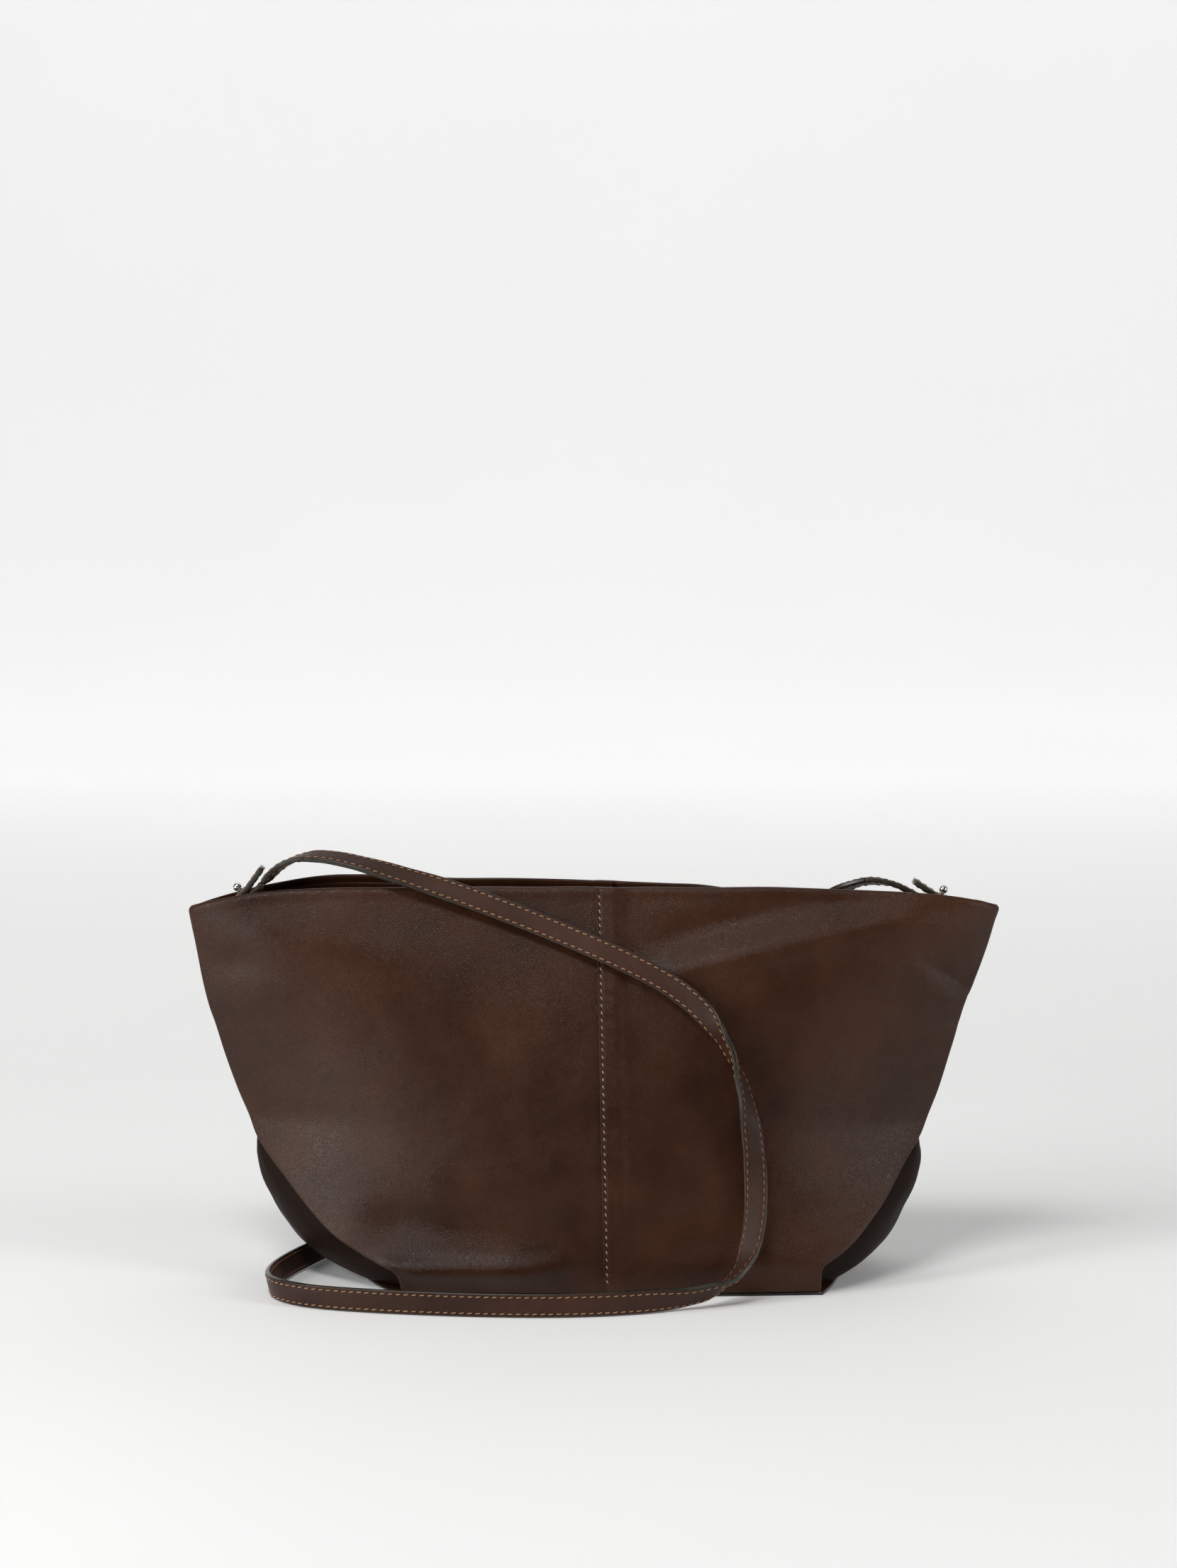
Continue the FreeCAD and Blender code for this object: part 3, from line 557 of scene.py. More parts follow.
strap_line = route_line()
strap_outs = strap_normals(len(strap_line))
strap_run = np.concatenate([[0], np.cumsum(np.linalg.norm(np.diff(strap_line, axis=0), axis=1))])
lead_ends = [int(np.searchsorted(strap_run, LEAD)),
             int(np.searchsorted(strap_run, strap_run[-1] - LEAD))]
STRAP_SKINS = [STRAP_OUTER, EDGE_PAINT, STRAP_BACK]


def strap_part(name, first, last, body):
    return sweep(name, strap_line[first:last], strap_outs[first:last], strap_section(),
                 STRAP_SKINS, body)


strap, strap_frames = strap_part("strap_ribbon", lead_ends[0], lead_ends[1] + 1, "root")
left_lead, left_frames = strap_part("strap_lead_left", 0, lead_ends[0] + 1, None)
right_lead, right_frames = strap_part("strap_lead_right", lead_ends[1], len(strap_line), None)


def strap_rows(frames, side, wide=STRAP_WIDE):
    """The two stitch rows of one face of the strap; side is 1 outside and -1 on the back."""
    path, _, across, normals = frames
    return [(path + across * offset + normals * side * (STRAP_THICK / 2 - 0.06),
             normals * side) for offset in (ROW_IN - wide / 2, wide / 2 - ROW_IN)]


strap_top = stitches("strap_stitches_outer", strap_rows(strap_frames, 1), TAN_THREAD,
                     hole=0.4)
strap_back = stitches("strap_stitches_back", strap_rows(strap_frames, -1), COPPER_THREAD)
lead_threads = {}
for name, lead, frames, tip, foot in (("left", left_lead, left_frames, 0, lead_ends[0]),
                                      ("right", right_lead, right_frames, -1, lead_ends[1])):
    lead_threads[name] = stitches(f"lead_stitches_{name}",
                                  strap_rows(frames, 1) + strap_rows(frames, -1),
                                  TAN_THREAD, hole=0.4, body=None)
    for blended in (lead, lead_threads[name]):
        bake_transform(blended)
    dress("strap_leather", lead, lead_threads[name])
dress("strap_leather", strap, strap_top, strap_back, node="strap")

# ---------------- the bag's shape
# height, how far out the left and right edges are, and how deep the fold is at each
EDGES = [
    (0.0, 91.0, 102.0, 53.0, 53.0), (6.0, 91.6, 102.0, 53.0, 53.0),
    (11.0, 94.6, 102.4, 52.3, 52.6), (14.0, 101.5, 104.0, 50.0, 51.8),
    (18.0, 110.5, 110.7, 46.2, 48.0), (24.0, 121.8, 119.2, 40.8, 42.0),
    (32.0, 131.6, 127.0, 33.6, 36.0), (38.5, 138.2, 132.8, 28.4, 30.0),
    (46.0, 145.3, 138.0, 22.0, 23.6), (55.0, 153.8, 144.0, 14.6, 15.8),
    (63.5, 160.6, 150.6, 7.4, 7.6), (72.0, 164.4, 154.6, 2.6, 2.6),
    (84.0, 169.6, 159.4, 1.9, 1.9), (100.0, 175.3, 164.3, 1.9, 1.9),
    (116.0, 180.2, 169.0, 1.9, 1.9), (124.0, 182.9, 171.4, 1.9, 1.9),
    (136.0, 185.8, 176.3, 1.9, 1.9), (152.0, 188.8, 181.9, 1.9, 1.9),
    (164.0, 191.1, 185.3, 1.9, 1.9), (170.0, 191.9, 187.0, 1.9, 1.9),
    (172.0, 190.6, 186.2, 1.9, 1.9),
]
# height, half depth in the middle, squareness of the section
MIDDLES = [
    (0.0, 56.6, 2.5), (6.0, 58.0, 2.5), (14.0, 58.7, 2.5), (24.0, 58.5, 2.5),
    (38.0, 56.6, 2.5), (54.0, 53.0, 2.5), (72.0, 47.9, 2.5), (96.0, 41.4, 2.6),
    (114.0, 36.4, 2.9), (132.0, 30.8, 3.7), (150.0, 24.2, 5.5), (166.0, 17.4, 11.0),
    (182.0, 10.5, 19.0),
]
LIP = 182.0
LEFT_SPAN = 191.4
RIGHT_SPAN = 187.7
CORNER_DROP = 10.2
LEATHER = 1.4
LAP = 8.0
SEAM_INSET = 1.5          # from the lap's cut edge to its stitches
BASE_TOP = 1.8
FACES = [("front", True), ("back", False)]


def seam_x(level):
    """Where the lap's cut edge runs: it leans a little."""
    return -1.5 + 4.0 * (1 - level / LIP)


def sag(x, level):
    share = min(abs(x) / (LEFT_SPAN if x < 0 else RIGHT_SPAN), 1.0)
    return CORNER_DROP * share**7 * (level / LIP) ** 2


def edge_at(level, side):
    """Edge distance and fold depth on the left (side -1) or the right (side 1)."""
    height = level - CORNER_DROP * (level / LIP) ** 2
    column = 1 if side < 0 else 2
    return table(EDGES, height, column), table(EDGES, height, column + 2)


def depth(x, level):
    side = -1 if x < 0 else 1
    edge, fold = edge_at(level, side)
    middle, square = table(MIDDLES, level, 1), table(MIDDLES, level, 2)
    share = min(abs(x) / edge, 1.0)
    return fold + (middle - fold) * (1 - share**square)


PUCKERS = [(z, random.uniform(5, 15), random.uniform(0.12, 0.34))
           for z in np.arange(58, 158, 4.3) + np.array([random.uniform(-1.4, 1.4)
                                                        for _ in range(24)])]


def front_relief(x, z):
    """How far the front leather stands out from its even shape."""
    out = 0.9 * rough(x, 0, z, 62, 1) + 0.35 * rough(x, 0, z, 24, 2)
    # the front bulges over its foot, with a valley above the bulge
    low = within(-116, -90, -22, 10, x)
    crest = 12.5 + 6 * smooth(-34, 0, x)
    low *= 1 - 0.6 * smooth(-45, -12, x)
    out += low * (4.6 * hill(z, crest, 6.2) - 2.4 * hill(z, crest + 20, 9))
    out += 2.0 * smooth(15, 50, x) * (hill(z, 17, 7) - 0.6 * hill(z, 36, 8))
    # a long ridge across the upper right
    ridge = 155.5 + 0.243 * (x - 58.8)
    long = within(10, 40, 140, 168, x)
    out += 2.8 * long * (hill(z, ridge - 5, 8) - 0.7 * hill(z, ridge + 10, 8))
    # dents where the right side gives way
    out -= 2.8 * smooth(140, 165, x) * hill(z, 152.5 - 0.61 * (x - 148.4), 4.5)
    out += 1.6 * hill(x, 164, 10) * hill(z, 130, 5)
    out -= 1.1 * smooth(148, 165, x) * hill(z, 128.5 - 0.69 * (x - 155.6), 3)
    out += 0.9 * hill(x, 165, 9) * hill(z, 111, 6)
    out -= 1.1 * hill(x, 58, 17) * within(30, 60, 95, 130, z)
    out += 0.5 * hill(x, -150, 22) * hill(z, 128, 30)
    out += 1.2 * hill(x, -165, 18) * hill(z, 140, 14) - 0.8 * hill(x, -170, 12) * hill(z, 150, 7)
    return out


def back_relief(x, z):
    out = 1.0 * rough(x, 40, z, 58, 5) + 0.35 * rough(x, 40, z, 22, 6)
    out += 0.9 * hill(z, 22, 8) * within(-120, -70, 60, 110, x)
    out -= 0.9 * hill(x, -155, 14) * hill(z, 128 + 0.3 * (x + 155), 6)
    return out


def front_lip(x):
    return (1.3 - 1.1 * hill(x, 130, 34) - 0.4 * hill(x, -170, 12)
            + 0.4 * rough(x, 0, 0, 30, 3))


def back_lip(x):
    high = 4.8 * within(-182, -120, -60, 40, x)
    low = 6.6 * within(40, 96, 150, 184, x)
    return high - low - 2.0 * hill(x, -60, 40) + 0.3 + 0.5 * rough(x, 20, 0, 34, 4)


def wall_point(x, level, front=True, lift=0.0):
    """A point of the bag's outer surface, in front coordinates: the back is mirrored later."""
    relief = front_relief if front else back_relief
    lip = front_lip if front else back_lip
    z = level - sag(x, level) + lip(x) * smooth(120, LIP, level)
    edge, _ = edge_at(level, -1 if x < 0 else 1)
    calm = (1 - smooth(0.9, 0.99, abs(x) / edge) * 0.35) * (1 - 0.6 * smooth(165, LIP, level))
    calm *= smooth(0, 6, level)
    y = -depth(x, level) - relief(x, level) * calm - lift - 0.5 * hill(level, LIP - 2.5, 2.2)
    if front:
        away = x - seam_x(level)
        if 0 < away < 20:
            for height, reach, deep in PUCKERS:
                y += (deep * hill(level, height, 1.7)
                      * within(0, 1.6, reach * 0.5, reach, away))
    return [x, min(y, -1.0), z]


def wall_rows():
    rows = [BASE_TOP + n for n in (0.0, 0.8, 2.0)]
    rows += list(np.linspace(5.2, LIP - 3.4, 116))
    rows += [LIP - 2.4]
    caps = list(reversed(cap(1.5)))
    return [(row, 1.0) for row in rows] + [(LIP - d, f) for d, f in caps]


NEAR_SEAM = [0.0, 0.25, 0.6, 0.95, 1.25, 1.5, 1.75, 2.1, 2.6, 3.3, 4.4, 5.8, 7.0, 8.2, 9.6,
             11.2, 13.0, 15.0, 17.5, 20.5, 24.0]      # distances from the lap's cut edge


def wall(name, side, front):
    """One leather panel, from the centre seam to its side edge."""
    over = side > 0                    # the right panel laps over the left one
    outer, thick, full = [], [], []
    far = list(np.linspace(0, 1, 62))[1:]
    for level, row_full in wall_rows():
        edge, fold = edge_at(level, side)
        soft = 1.0 + 0.5 * smooth(2.5, 8, fold)
        caps = [(edge - d, f) for d, f in reversed(cap(soft))]
        start = seam_x(level) if over else seam_x(level) + LAP
        near = [start + side * d for d in NEAR_SEAM]
        first, last = near[-1], side * caps[0][0]
        xs = near + [first + (last - first) * t for t in far] + [side * c[0] for c in caps[1:]]
        fills = [1.0] * (len(near) + len(far)) + [c[1] for c in caps[1:]]
        line = []
        for x in xs:
            away = x - seam_x(level)
            lift = 0.0
            if over:
                lift = 1.55 * (1 - smooth(LAP - 1, LAP + 7, away))
                lift -= 0.28 * hill(away, SEAM_INSET, 0.8)
            line.append(wall_point(x, level, front, lift))
        hem = 1.1 * smooth(LIP - 11, LIP - 8, level)
        turned = 0.8 * smooth(2.5, 8, fold)
        thick.append([LEATHER + hem * (1 - smooth(146, 160, abs(x)))
                      + turned * smooth(0.95, 1.0, abs(x) / edge) for x in xs])
        full.append([row_full * f for f in fills])
        if over:
            full[-1][0] = row_full * 0.7
        if side < 0:
            line, thick[-1], full[-1] = line[::-1], thick[-1][::-1], full[-1][::-1]
        outer.append(line)
    # the cut borders take the dark edge paint, darkened in part as painted shade along the lap
    piece = slab(name + "_skin", outer, thick, full, [BODY_LEATHER, SEAM_PAINT_AND_SHADE],
                 mirror=not front, limit=0.2)
    dress("leather", piece, node=name + "_panel")


for place, front in FACES:
    for word, side in (("left", -1), ("right", 1)):
        wall(f"{place}_{word}", side, front)


# ---------------- centre seams
def seam_row(front):
    """The line of the seam's stitches and the directions out of the leather."""
    line, outs = [], []
    for level in np.linspace(5, LIP - 2.2, 150):
        x = seam_x(level) + SEAM_INSET
        here = np.array(wall_point(x, level, front, 1.27))
        over = np.array(wall_point(x, level + 0.5, front, 1.27))
        beside = np.array(wall_point(x + 3, level, front, 1.27))
        out = unit(np.cross(beside - here, over - here))
        if not front:
            here[1] *= -1
            out[1] *= -1
        line.append(here + out * 0.05)
        outs.append(out)
    return line, outs


for place, front in FACES:
    dress("leather", stitches("centre_seam_stitches_" + place, [seam_row(front)], SEAM_THREAD,
                              3.43, 1.75, 0.58, 0.36, 0.38, hole=0.42))


# ---------------- gussets and base
# height, how far out the left and the right gusset bulge
TONGUES = [
    (0.0, 112.0, 111.6), (4.0, 122.2, 120.2), (8.0, 130.2, 126.4), (14.0, 138.2, 132.6),
    (20.0, 143.8, 137.3), (30.0, 150.8, 142.8), (40.0, 156.0, 148.4), (48.0, 159.4, 150.6),
    (56.0, 161.0, 151.2), (64.0, 160.4, 150.0), (70.0, 158.8, 148.6),
]


def gusset(name, side):
    """The tongue of leather inside the folded edges of one end."""
    rows = []
    levels = [BASE_TOP, 2.6] + list(np.linspace(4, 68, 52)) + [70.0]
    for level in levels:
        edge, _ = edge_at(level, side)
        bulge = table(TONGUES, level, 1 if side < 0 else 2)
        inset = min(edge - 11.0, bulge - 4)
        half = depth(side * inset, level) - LEATHER - 0.8
        line = []
        for share in np.linspace(1, -1, 61):
            x = bulge - (bulge - inset) * abs(share) ** 2.4
            x += (0.9 * rough(share * 60, side * 9, level, 20, 8)
                  + 0.35 * rough(share * 60, side * 9, level, 8, 9)) * (1 - abs(share) ** 4)
            line.append([side * x, half * share, level])
        rows.append(line if side < 0 else line[::-1])
    # its leather is darkened as painted shade for the fold it sits in
    piece = slab(name + "_skin", rows, 1.3, 1.0, [GUSSET_SHADED_LEATHER, SEAM_PAINT_AND_SHADE])
    dress("leather", piece, node=name)


gusset("left_gusset", -1)
gusset("right_gusset", 1)


def base_edge(turn, margin=0.0):
    """A point of the base's outline: four gentle arcs between its corners."""
    corners = [(-92.5, -53.0), (102.5, -53.0), (102.5, 53.0), (-92.5, 53.0)]
    bulges = [(0.0, -4.0), (10.5, 0.0), (0.0, 4.0), (-19.0, 0.0)]
    side = int(turn * 4) % 4
    t = turn * 4 - int(turn * 4)
    (ax, ay), (bx, by) = corners[side], corners[(side + 1) % 4]
    push = 4 * t * (1 - t)
    point = np.array([ax + (bx - ax) * t + bulges[side][0] * push,
                      ay + (by - ay) * t + bulges[side][1] * push])
    return point * (1 - margin / max(np.linalg.norm(point), 1.0))


def base_skin():
    """The base's leather with a painted, slightly rounded edge."""
    around, top = 200, 1.6
    profile = [(0.9, top, 0), (0.25, top - 0.1, 1), (0.0, top - 0.5, 1), (0.0, 0.5, 1),
               (0.25, 0.1, 0), (0.9, 0.0, 0)]
    inner = [0.25, 0.5, 0.75, 0.92]
    loops = ([(share, 0.0, top, 0) for share in inner] + [(1.0, *edge) for edge in profile]
             + [(share, 0.0, 0.0, 0) for share in reversed(inner)])
    points, faces, kinds = [[2.0, 0.0, top], [2.0, 0.0, 0.0]], [], []
    for share, margin, z, _ in loops:
        points += [[*(base_edge(n / around, margin) * share), z] for n in range(around)]
    last = 2 + (len(loops) - 1) * around
    for i, loop in enumerate(loops[:-1]):
        faces += band(2 + i * around, 2 + (i + 1) * around, around)
        kinds += [loop[3]] * around
    for n in range(around):
        m = (n + 1) % around
        faces += [(0, 2 + m, 2 + n), (1, last + n, last + m)]
        kinds += [0, 0]
    piece = new_piece("base_skin", points, faces, [BODY_LEATHER, SEAM_PAINT_AND_SHADE], kinds)
    dress("leather", piece, node="base_panel")


base_skin()
sewn_in, steps = 4.0, 240      # how far in the base is sewn, and points round it
base_loop = [[*base_edge(n / steps, sewn_in), 0.04] for n in range(steps + 1)]
dress("leather", stitches("base_stitches", [(base_loop, [[0, 0, -1]] * (steps + 1))],
                          COPPER_THREAD, tall=0.1))

# ---------------- facings and zip tapes
FACING_THICK = 1.2
TAPE_HIGH = 171.0          # where the tapes turn down


def inside_line(x, level, front, gap):
    """A point behind the wall's outer surface."""
    point = wall_point(x, level, front)
    return [point[0], point[1] + gap, point[2]]


def inside_gap(level):
    """From the wall's outer surface to just behind its inner one, with the turned hem."""
    return LEATHER + 0.2 + 1.1 * smooth(LIP - 12, LIP - 9, level)


def facing(name, front):
    """The strip of leather inside the mouth that the zip is sewn to."""
    rows, full = [], []
    levels = [(150.0 + d, f) for d, f in cap(0.6, 2)]
    levels += [(z, 1.0) for z in np.linspace(152, 176, 16)]
    levels += [(178.0 - d, f) for d, f in reversed(cap(0.6, 2))]
    xs = [(-156.0 + d, f) for d, f in cap(0.6, 2)]
    xs += [(x, 1.0) for x in np.linspace(-154, 150, 110)]
    xs += [(152.0 - d, f) for d, f in reversed(cap(0.6, 2))]
    for level, row_full in levels:
        rows.append([inside_line(x, level, front, inside_gap(level)) for x, _ in xs])
        full.append([row_full * f for _, f in xs])
    piece = slab(name + "_skin", rows, FACING_THICK, full, [BODY_LEATHER], mirror=not front,
                 limit=0.4)
    dress("leather", piece, node=name)


def tape_fold(x, drop, front):
    """Where the tape lies on the facing, a drop below its level part."""
    height = TAPE_HIGH - drop
    level = min(2 * height - wall_point(x, height, front)[2], LIP - 1)
    gap = inside_gap(level) + FACING_THICK + 0.12
    y = inside_line(x, level, front, gap)[1] + 1.5 * (1 - smooth(0, 2.4, drop))
    return [x, min(y, -3.0), height + (0.2 if drop < 1 else 0.0)]


def tape(word, front):
    """The zip's tape: level beside the teeth, then turned down the facing and sewn."""
    rows, sewn = [], 3.0               # the drop of the row of stitches
    span = [-140.0] + list(np.linspace(-139.4, 139.4, 140)) + [140.0]
    for inset, rise in ((1.7, 0.0), (3.0, 0.0), (5.0, 0.0), (7.0, 0.05), (8.6, 0.0)):
        line = []
        for x in span:
            reach = min((-tape_fold(x, 0.4, front)[1] - 2.0) / 6.9, 1.0)
            line.append([x, -1.7 - (inset - 1.7) * reach,
                         TAPE_HIGH + 0.3 + rise + 0.12 * rough(x, inset, 0, 16, 12)])
        rows.append(line)
    for drop in (0.4, 1.4, sewn, 5.0, 7.0, 8.5):
        rows.append([tape_fold(x, drop, front) for x in span])
    full = [[0.5] + [1.0] * (len(span) - 2) + [0.5]] * len(rows)
    piece = slab(f"tape_{word}_cloth", rows[::-1], -0.55, full, [TAPE_CLOTH],
                 mirror=not front)
    line = np.array([tape_fold(x, sewn, front) for x in span])
    line[:, 1] += 0.6
    outs = np.array([[0.0, 0.95, 0.3]] * len(line))
    if not front:
        line[:, 1] *= -1
        outs[:, 1] *= -1
    seam = stitches(f"tape_{word}_cloth_stitches", [(line, outs)], COPPER_THREAD, pitch=3.2,
                    long=2.3, wide=0.45, tall=0.25, slant=0.0)
    dress("zip_cloth", piece, seam, node=f"zip_tape_{word}")


for word, front in FACES:
    facing(f"{word}_facing", front)
    tape(word, front)


# ---------------- lining and pocket
# height, half length, half depth, and two powers that shape the section
LINING = [
    (5.0, 99.0, 49.0, 3.0, 0.33), (20.0, 125.0, 50.5, 3.0, 0.38),
    (46.0, 139.0, 48.0, 2.2, 0.5), (76.0, 151.0, 42.5, 2.4, 0.9),
    (120.0, 166.0, 30.5, 2.5, 1.0), (150.0, 163.0, 19.6, 3.5, 1.0),
    (165.0, 157.4, 13.4, 5.8, 1.0),
]


def lining_point(turn, height):
    """A point of the lining, with the creases of loose cloth."""
    half_x, half_y, power, root = [table(LINING, height, c) for c in (1, 2, 3, 4)]
    x = -half_x * math.cos(2 * math.pi * turn)
    side = -1 if turn < 0.5 else 1
    y = side * half_y * max(1 - abs(x / half_x) ** power, 0.0) ** root
    crease = (0.9 * rough(x, side * 50, height * 0.5, 17, 14)
              + 0.4 * rough(x, side * 50, height, 7, 15))
    shrink = 1 - (1.4 + crease) / max(math.hypot(x, y), 30)
    return [x * shrink, y * shrink, height]


def lining():
    """A sewn sack of thin cloth, closed at the bottom."""
    around = 220
    heights = [5.3, 6.4, 8, 11] + list(np.linspace(15, 165, 60))
    points, faces = [], []
    for shrink in (0.0, 0.6):
        for height in heights:
            ring = np.array([lining_point(n / around, height) for n in range(around)])
            ring[:, :2] *= 1 - shrink / 60
            points += ring.tolist()
        points.append([0.0, 0.0, 5.0 + shrink])
    layer = len(heights) * around + 1
    for part in (0, layer):
        for i in range(len(heights) - 1):
            faces += band(part + i * around, part + (i + 1) * around, around)
        faces += [(part + (n + 1) % around, part + n, part + layer - 1) for n in range(around)]
    last = (len(heights) - 1) * around
    faces += band(last, last + layer, around)
    piece = new_piece("lining_sack", points, faces, [LINING_CLOTH])
    dress("lining_cloth", piece, node="lining")


def pocket():
    """The slip pocket on the back of the lining, with a turned hem."""
    rows, thick = [], []
    for height in list(np.linspace(48, 110, 32)) + list(np.linspace(110.6, 120, 12)):
        line = []
        for x in np.linspace(-75, 75, 76):
            reach = table([(48.0, 41.0), (76.0, 34.5), (100.0, 28.6), (120.0, 23.2)], height, 1)
            bag = (0.6 * rough(x, 0, height, 22, 16)
                   + 0.8 * hill(x, 0, 40) * smooth(90, 120, height))
            y = reach * (1 - (abs(x) / 150) ** 2.4) - 3.4 - bag
            line.append([x, y, height])
        rows.append(line)
        thick.append([0.6 + 0.5 * smooth(110, 111, height)] * 76)
    piece = slab("pocket_cloth", rows, thick, 1.0, [LINING_CLOTH])
    dress("lining_cloth", piece, node="inner_pocket")


lining()
pocket()


# ---------------- strips that hold things
SMALL_STITCH = {"pitch": 2.6, "long": 2.0, "wide": 0.5, "tall": 0.3}


def strip_section(wide, thick):
    """A leather strip's section: flat faces and soft painted edges."""
    half, deep, soft = wide / 2, thick / 2, min(thick, 1.2) / 3
    face = [(half, deep - soft, 1), (half - soft, deep, 0), (half - 2.0, deep + 0.03, 0),
            (0.0, deep + 0.05, 0), (-half + 2.0, deep + 0.03, 0), (-half + soft, deep, 1),
            (-half, deep - soft, 1)]
    under = [(-a, -b, m) for a, b, m in face]
    return face + under


def turned_path(points, steps=10):
    """A line through points given as (x, z) in the plane of the bag's length."""
    path = []
    for (ax, az), (bx, bz) in zip(points, points[1:]):
        path += [[ax + (bx - ax) * n / steps, 0.0, az + (bz - az) * n / steps]
                 for n in range(steps)]
    path.append([points[-1][0], 0.0, points[-1][1]])
    return np.array(path)


def arc(cx, cz, radius, start, end, steps=14):
    """Points of an arc in that plane, between two angles in degrees."""
    return [(cx + radius * math.cos(math.radians(start + (end - start) * n / steps)),
             cz + radius * math.sin(math.radians(start + (end - start) * n / steps)))
            for n in range(steps + 1)]


def flat_outs(path):
    """Directions out of a strip that runs in the plane of the bag's length."""
    along = unit(np.gradient(path, axis=0))
    return np.stack([-along[:, 2], np.zeros(len(path)), along[:, 0]], axis=1)


def chape(name, bar_x, bar_z):
    """The loop in the side seam that holds a ring's low bar."""
    radius = 0.9 + 0.6         # room for the wire, and half the leather
    points = [(bar_x - radius + 0.3, bar_z - 16), (bar_x - radius, bar_z - 4)]
    points += arc(bar_x, bar_z, radius, 180, 0)
    points += [(bar_x + radius, bar_z - 4), (bar_x + radius - 0.3, bar_z - 16)]
    path = turned_path(points, 3)
    piece, _ = sweep(name + "_skin", path, flat_outs(path), strip_section(8.4, 1.2),
                     [BODY_LEATHER, EDGE_PAINT])
    rows = [([[bar_x + way * (radius + 0.55), offset, bar_z - 3 - n] for n in range(12)],
             [[way, 0, 0]] * 12) for offset in (-2.8, 2.8) for way in (-1, 1)]
    seam = stitches(name + "_stitches", rows, TAN_THREAD, **SMALL_STITCH)
    dress("leather", piece, seam, node=name)


# the rings' low bars, as the design places them
chape("left_chape", -174.667, 168.333)
chape("right_chape", 171.12, 170.528)


# ---------------- strap ends
BAR_HIGH = 173.0           # height of both rings' high bars
# the inner leg: how far from the bar towards the strap, and how far out
INNER_LEG = [(17.2, -2.1), (14.0, -2.15), (11.5, -2.0), (9.0, -1.75), (6.8, -1.55),
             (5.0, -1.42)]


def strap_end(side, bar_x, lean, tail, flare, body):
    """The strap turned round the ring's high bar: the inner leg runs on as the strap, and the
    outer leg is the cut tail, of the given length, which stands out by the flare."""
    word = "left" if side < 0 else "right"
    along = np.array([-side * math.cos(math.radians(lean)), 0, math.sin(math.radians(lean))])
    outside = np.array([side * along[2], 0, -side * along[0]])
    bar = np.array([bar_x, 0, BAR_HIGH])
    leg = STRAP_THICK / 2
    loop = 0.86 + leg          # room for the wire, and half the strap
    local = INNER_LEG + [(3.4, -leg - 0.28), (1.8, -leg - 0.62)]
    local += [(loop * math.cos(a), loop * math.sin(a))
              for a in np.radians(np.linspace(-78, -282, 15))]
    local += [(1.8, leg + 0.62), (3.4, leg + 0.28), (5.5, leg + 0.02), (7.5, leg + 0.02)]
    local += [(x, leg + flare * (x - 8.5)) for x in np.linspace(10.0, tail, 10)]
    path = np.array([bar + along * a + outside * b for a, b in local])
    run = unit(np.gradient(path, axis=0))
    outs = np.cross(run, np.array([0.0, 1.0, 0.0]))
    middle = path.mean(axis=0)
    if np.dot(outs[8], path[8] - middle) < 0:
        outs = -outs
    piece, frames = sweep(f"strap_end_{word}", path, outs, strap_section(END_WIDE),
                          STRAP_SKINS, body)
    threads = stitches(f"strap_end_{word}_stitches", strap_rows(frames, 1, END_WIDE), TAN_THREAD,
                       hole=0.4, body=body)
    under = stitches(f"strap_end_{word}_stitches_back", strap_rows(frames, -1, END_WIDE),
                     COPPER_THREAD, body=body)
    dress("strap_leather", piece, threads, under, node=f"{word}_strap_end")


strap_end(-1, -170.0, 45.0, 21.5, 0.16, "left_swing")
strap_end(1, 165.0, 22.0, 21.0, 0.2, "right_swing")


# ---------------- zip ends and pull tab
def end_tab(name, x0, x1):
    """A folded leather tab that closes one end of the zip."""
    outward = -1 if x0 < 0 else 1
    inner, outer = (x1, x0) if outward < 0 else (x0, x1)
    low, high, bend = 170.4, 172.5, 1.0
    turn = outer - outward * bend
    points = [(inner, low), (turn, low)]
    points += [(turn + outward * math.sin(a) * bend,
                (low + high) / 2 - math.cos(a) * (high - low) / 2)
               for a in np.linspace(0.3, math.pi - 0.3, 7)]
    points += [(turn, high), (inner, high)]
    path = turned_path(points, 2)
    outs = flat_outs(path) * outward
    piece, _ = sweep(name + "_skin", path, outs, strip_section(14.0, 0.9),
                     [BODY_LEATHER, EDGE_PAINT])
    line = [[inner + outward * 1.6, y, high + 0.48] for y in np.linspace(-6.2, 6.2, 20)]
    seam = stitches(name + "_stitches", [(line, [[0, 0, 1]] * 20)], TAN_THREAD,
                    **SMALL_STITCH)
    dress("leather", piece, seam, node=name)


end_tab("zip_end_tab_left", -149.0, -140.0)
end_tab("zip_end_tab_right", 140.0, 149.0)


def pull_tab():
    """A narrow leather tab looped through the puller."""
    x, z = -130.0, 176.7       # the far end of the puller's link
    bend = 0.95
    loop = [(x - 0.45 + bend * math.cos(a), z + bend * math.sin(a))
            for a in np.radians(np.linspace(-90, 90, 11))]
    leg = [(12.4, 0.5), (5.0, 0.52), (2.4, 0.8)]
    points = [(x - a, z - b) for a, b in leg] + loop + [(x - a, z + b)
                                                        for a, b in reversed(leg)]
    path = turned_path(points, 2)
    piece, _ = sweep("pull_tab_skin", path, -flat_outs(path), strip_section(5.2, 0.95),
                     [STRAP_OUTER, EDGE_PAINT], "puller")
    rows = [([[x - 11.2 + n * 0.6, y, z + 1.0] for n in range(14)], [[0, 0, 1]] * 14)
            for y in (-1.6, 1.6)]
    seam = stitches("pull_tab_stitches", rows, TAN_THREAD, pitch=2.2, long=1.6, wide=0.4,
                    tall=0.25, body="puller")
    dress("strap_leather", piece, seam, node="zip_pull_tab")


pull_tab()

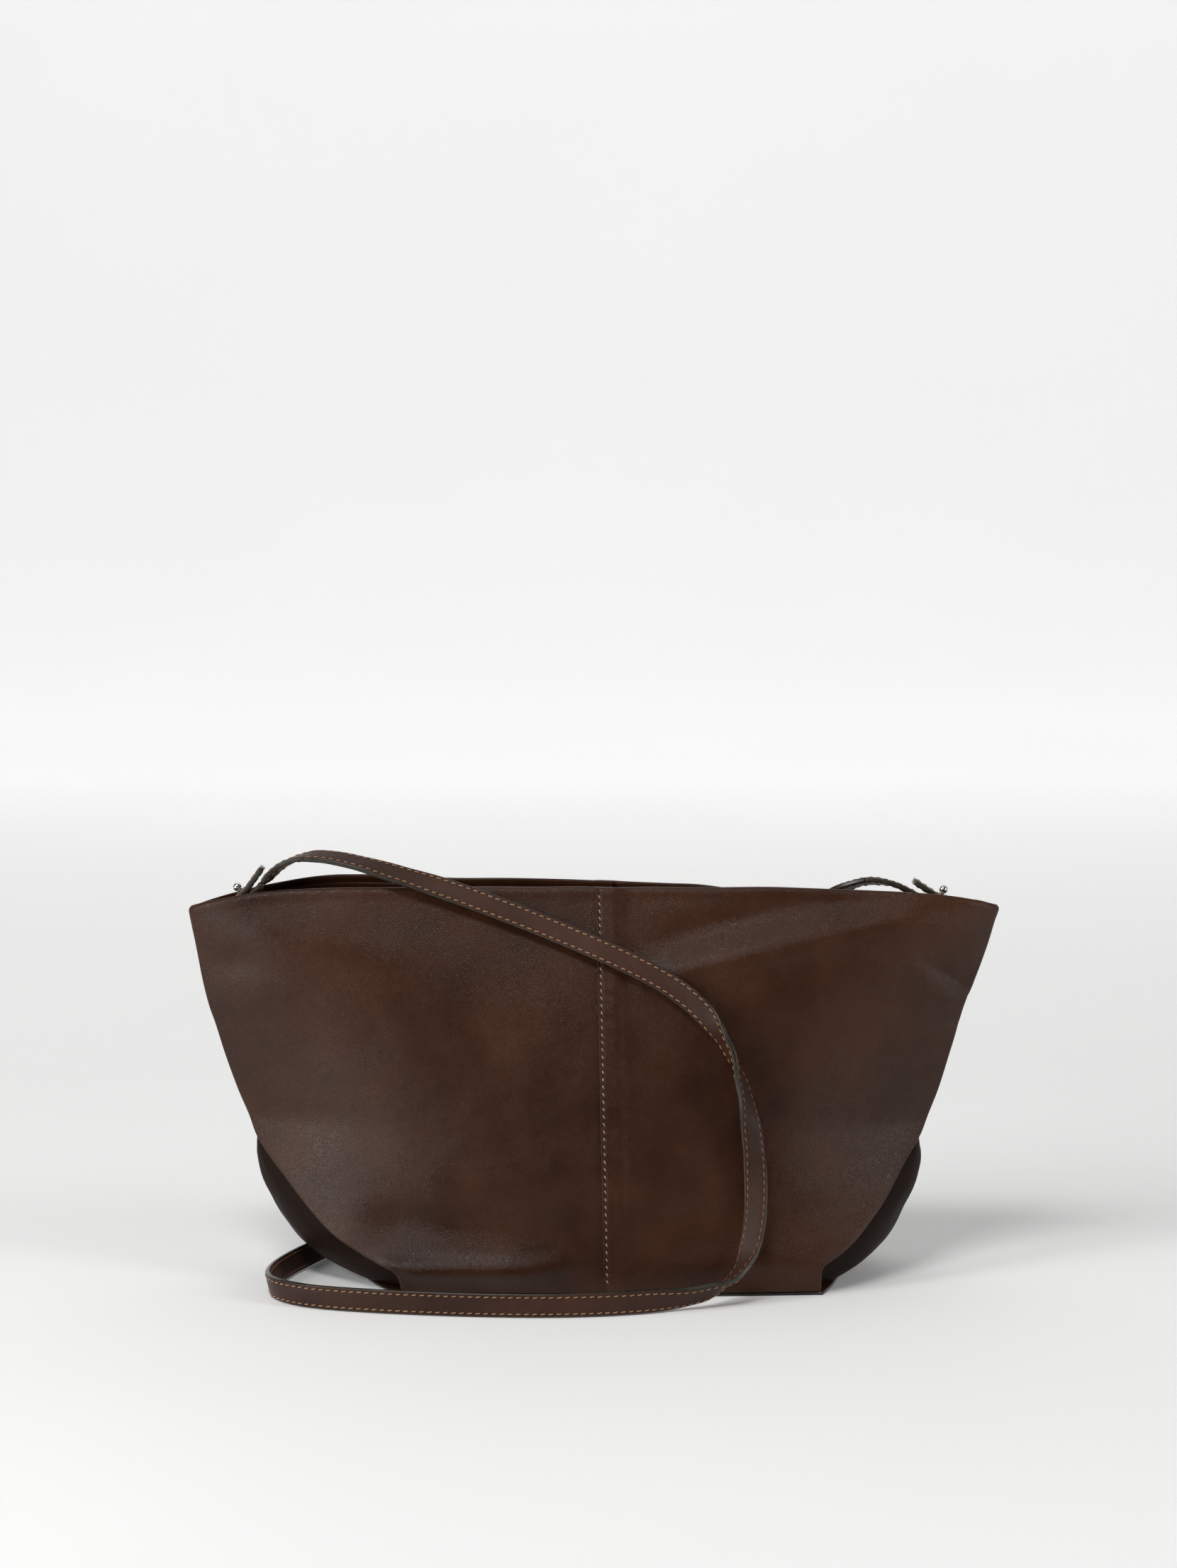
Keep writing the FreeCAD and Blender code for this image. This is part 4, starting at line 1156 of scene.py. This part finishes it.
# ---------------- carried CAD nodes
FINISHES = [
    (BOARD, "base_board"),
    (BRASS, "zip_teeth_front", "zip_teeth_back", "zip_slider", "zip_puller", "zip_top_stops",
     "zip_bottom_stop"),
    (CHROME, "left_ring", "right_ring", "left_stud", "right_stud", "left_stud_screw",
     "right_stud_screw"),
]
for material, *nodes in FINISHES:
    for node in nodes:
        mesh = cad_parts[node].data
        mesh.materials.clear()
        mesh.materials.append(material)


# ---------------- floor and light
FLOOR_GLOW = 0.05          # light of its own, so the paper reads near white
WALL_GLOW = 0.56


def floor():
    """A pale floor that curves up into the backdrop."""
    half, front, bend, radius, high = 6.0, -4.0, 3.0, 1.5, 5.0
    profile = [(front, 0.0), (-1.0, 0.0), (0.0, 0.0), (1.0, 0.0), (bend, 0.0)]
    profile += [(bend + radius * math.sin(a), radius * (1 - math.cos(a)))
                for a in np.linspace(0.1, math.pi / 2, 12)]
    profile.append((bend + radius, high))
    points = [[x, y, z] for y, z in profile for x in (-half, half)]
    faces = [(2 * n, 2 * n + 1, 2 * n + 3, 2 * n + 2) for n in range(len(profile) - 1)]
    s = Shader("paper_floor", Specular_IOR_Level=0.2, Roughness=0.9,
               Emission_Color=(1.0, 1.0, 1.0, 1))
    tone = s.noise(3.0, 2.0)
    s.feed("Base Color", s.ramp(tone, [(0.3, linear(243, 243, 242)),
                                       (0.7, linear(246, 246, 245))]))
    behind = s.node("ShaderNodeSeparateXYZ", Vector=s.place).outputs["Y"]
    s.feed("Emission Strength", s.grey(behind, 0.1, 2.2, FLOOR_GLOW, WALL_GLOW))
    sheet = new_piece("floor", np.array(points) / MM, faces, [s.material], body=None)


def area_light(name, place, target, size, power):
    lamp = bpy.data.lights.new(name, "AREA")
    lamp.shape = "RECTANGLE"
    lamp.size, lamp.size_y = size
    lamp.energy = power
    holder = bpy.data.objects.new(name, lamp)
    holder.location = place
    aim = Vector(target) - Vector(place)
    holder.rotation_euler = aim.to_track_quat("-Z", "Y").to_euler()
    bpy.context.scene.collection.objects.link(holder)


floor()
for name, place, aim_high, size, power in (
        ("left_box", (-1.5, -0.9, 0.6), 0.09, (0.5, 1.3), 20),
        ("right_box", (1.6, -0.7, 0.7), 0.09, (0.45, 1.2), 11),
        ("front_box", (-0.45, -1.1, 1.75), 0.09, (0.7, 0.45), 15),
        ("top", (0.0, 0.6, 2.2), 0.1, (2.2, 1.6), 8.5)):
    area_light(name, place, (0, 0, aim_high), size, power)

world = bpy.data.worlds.new("studio")
world.use_nodes = True
sky = world.node_tree.nodes["Background"].inputs
sky["Color"].default_value = (1.0, 1.0, 1.0, 1)
sky["Strength"].default_value = 0.08
bpy.context.scene.world = world
bpy.context.scene.view_settings.view_transform = "Standard"

# ---------------- update the scene
bpy.context.view_layer.update()
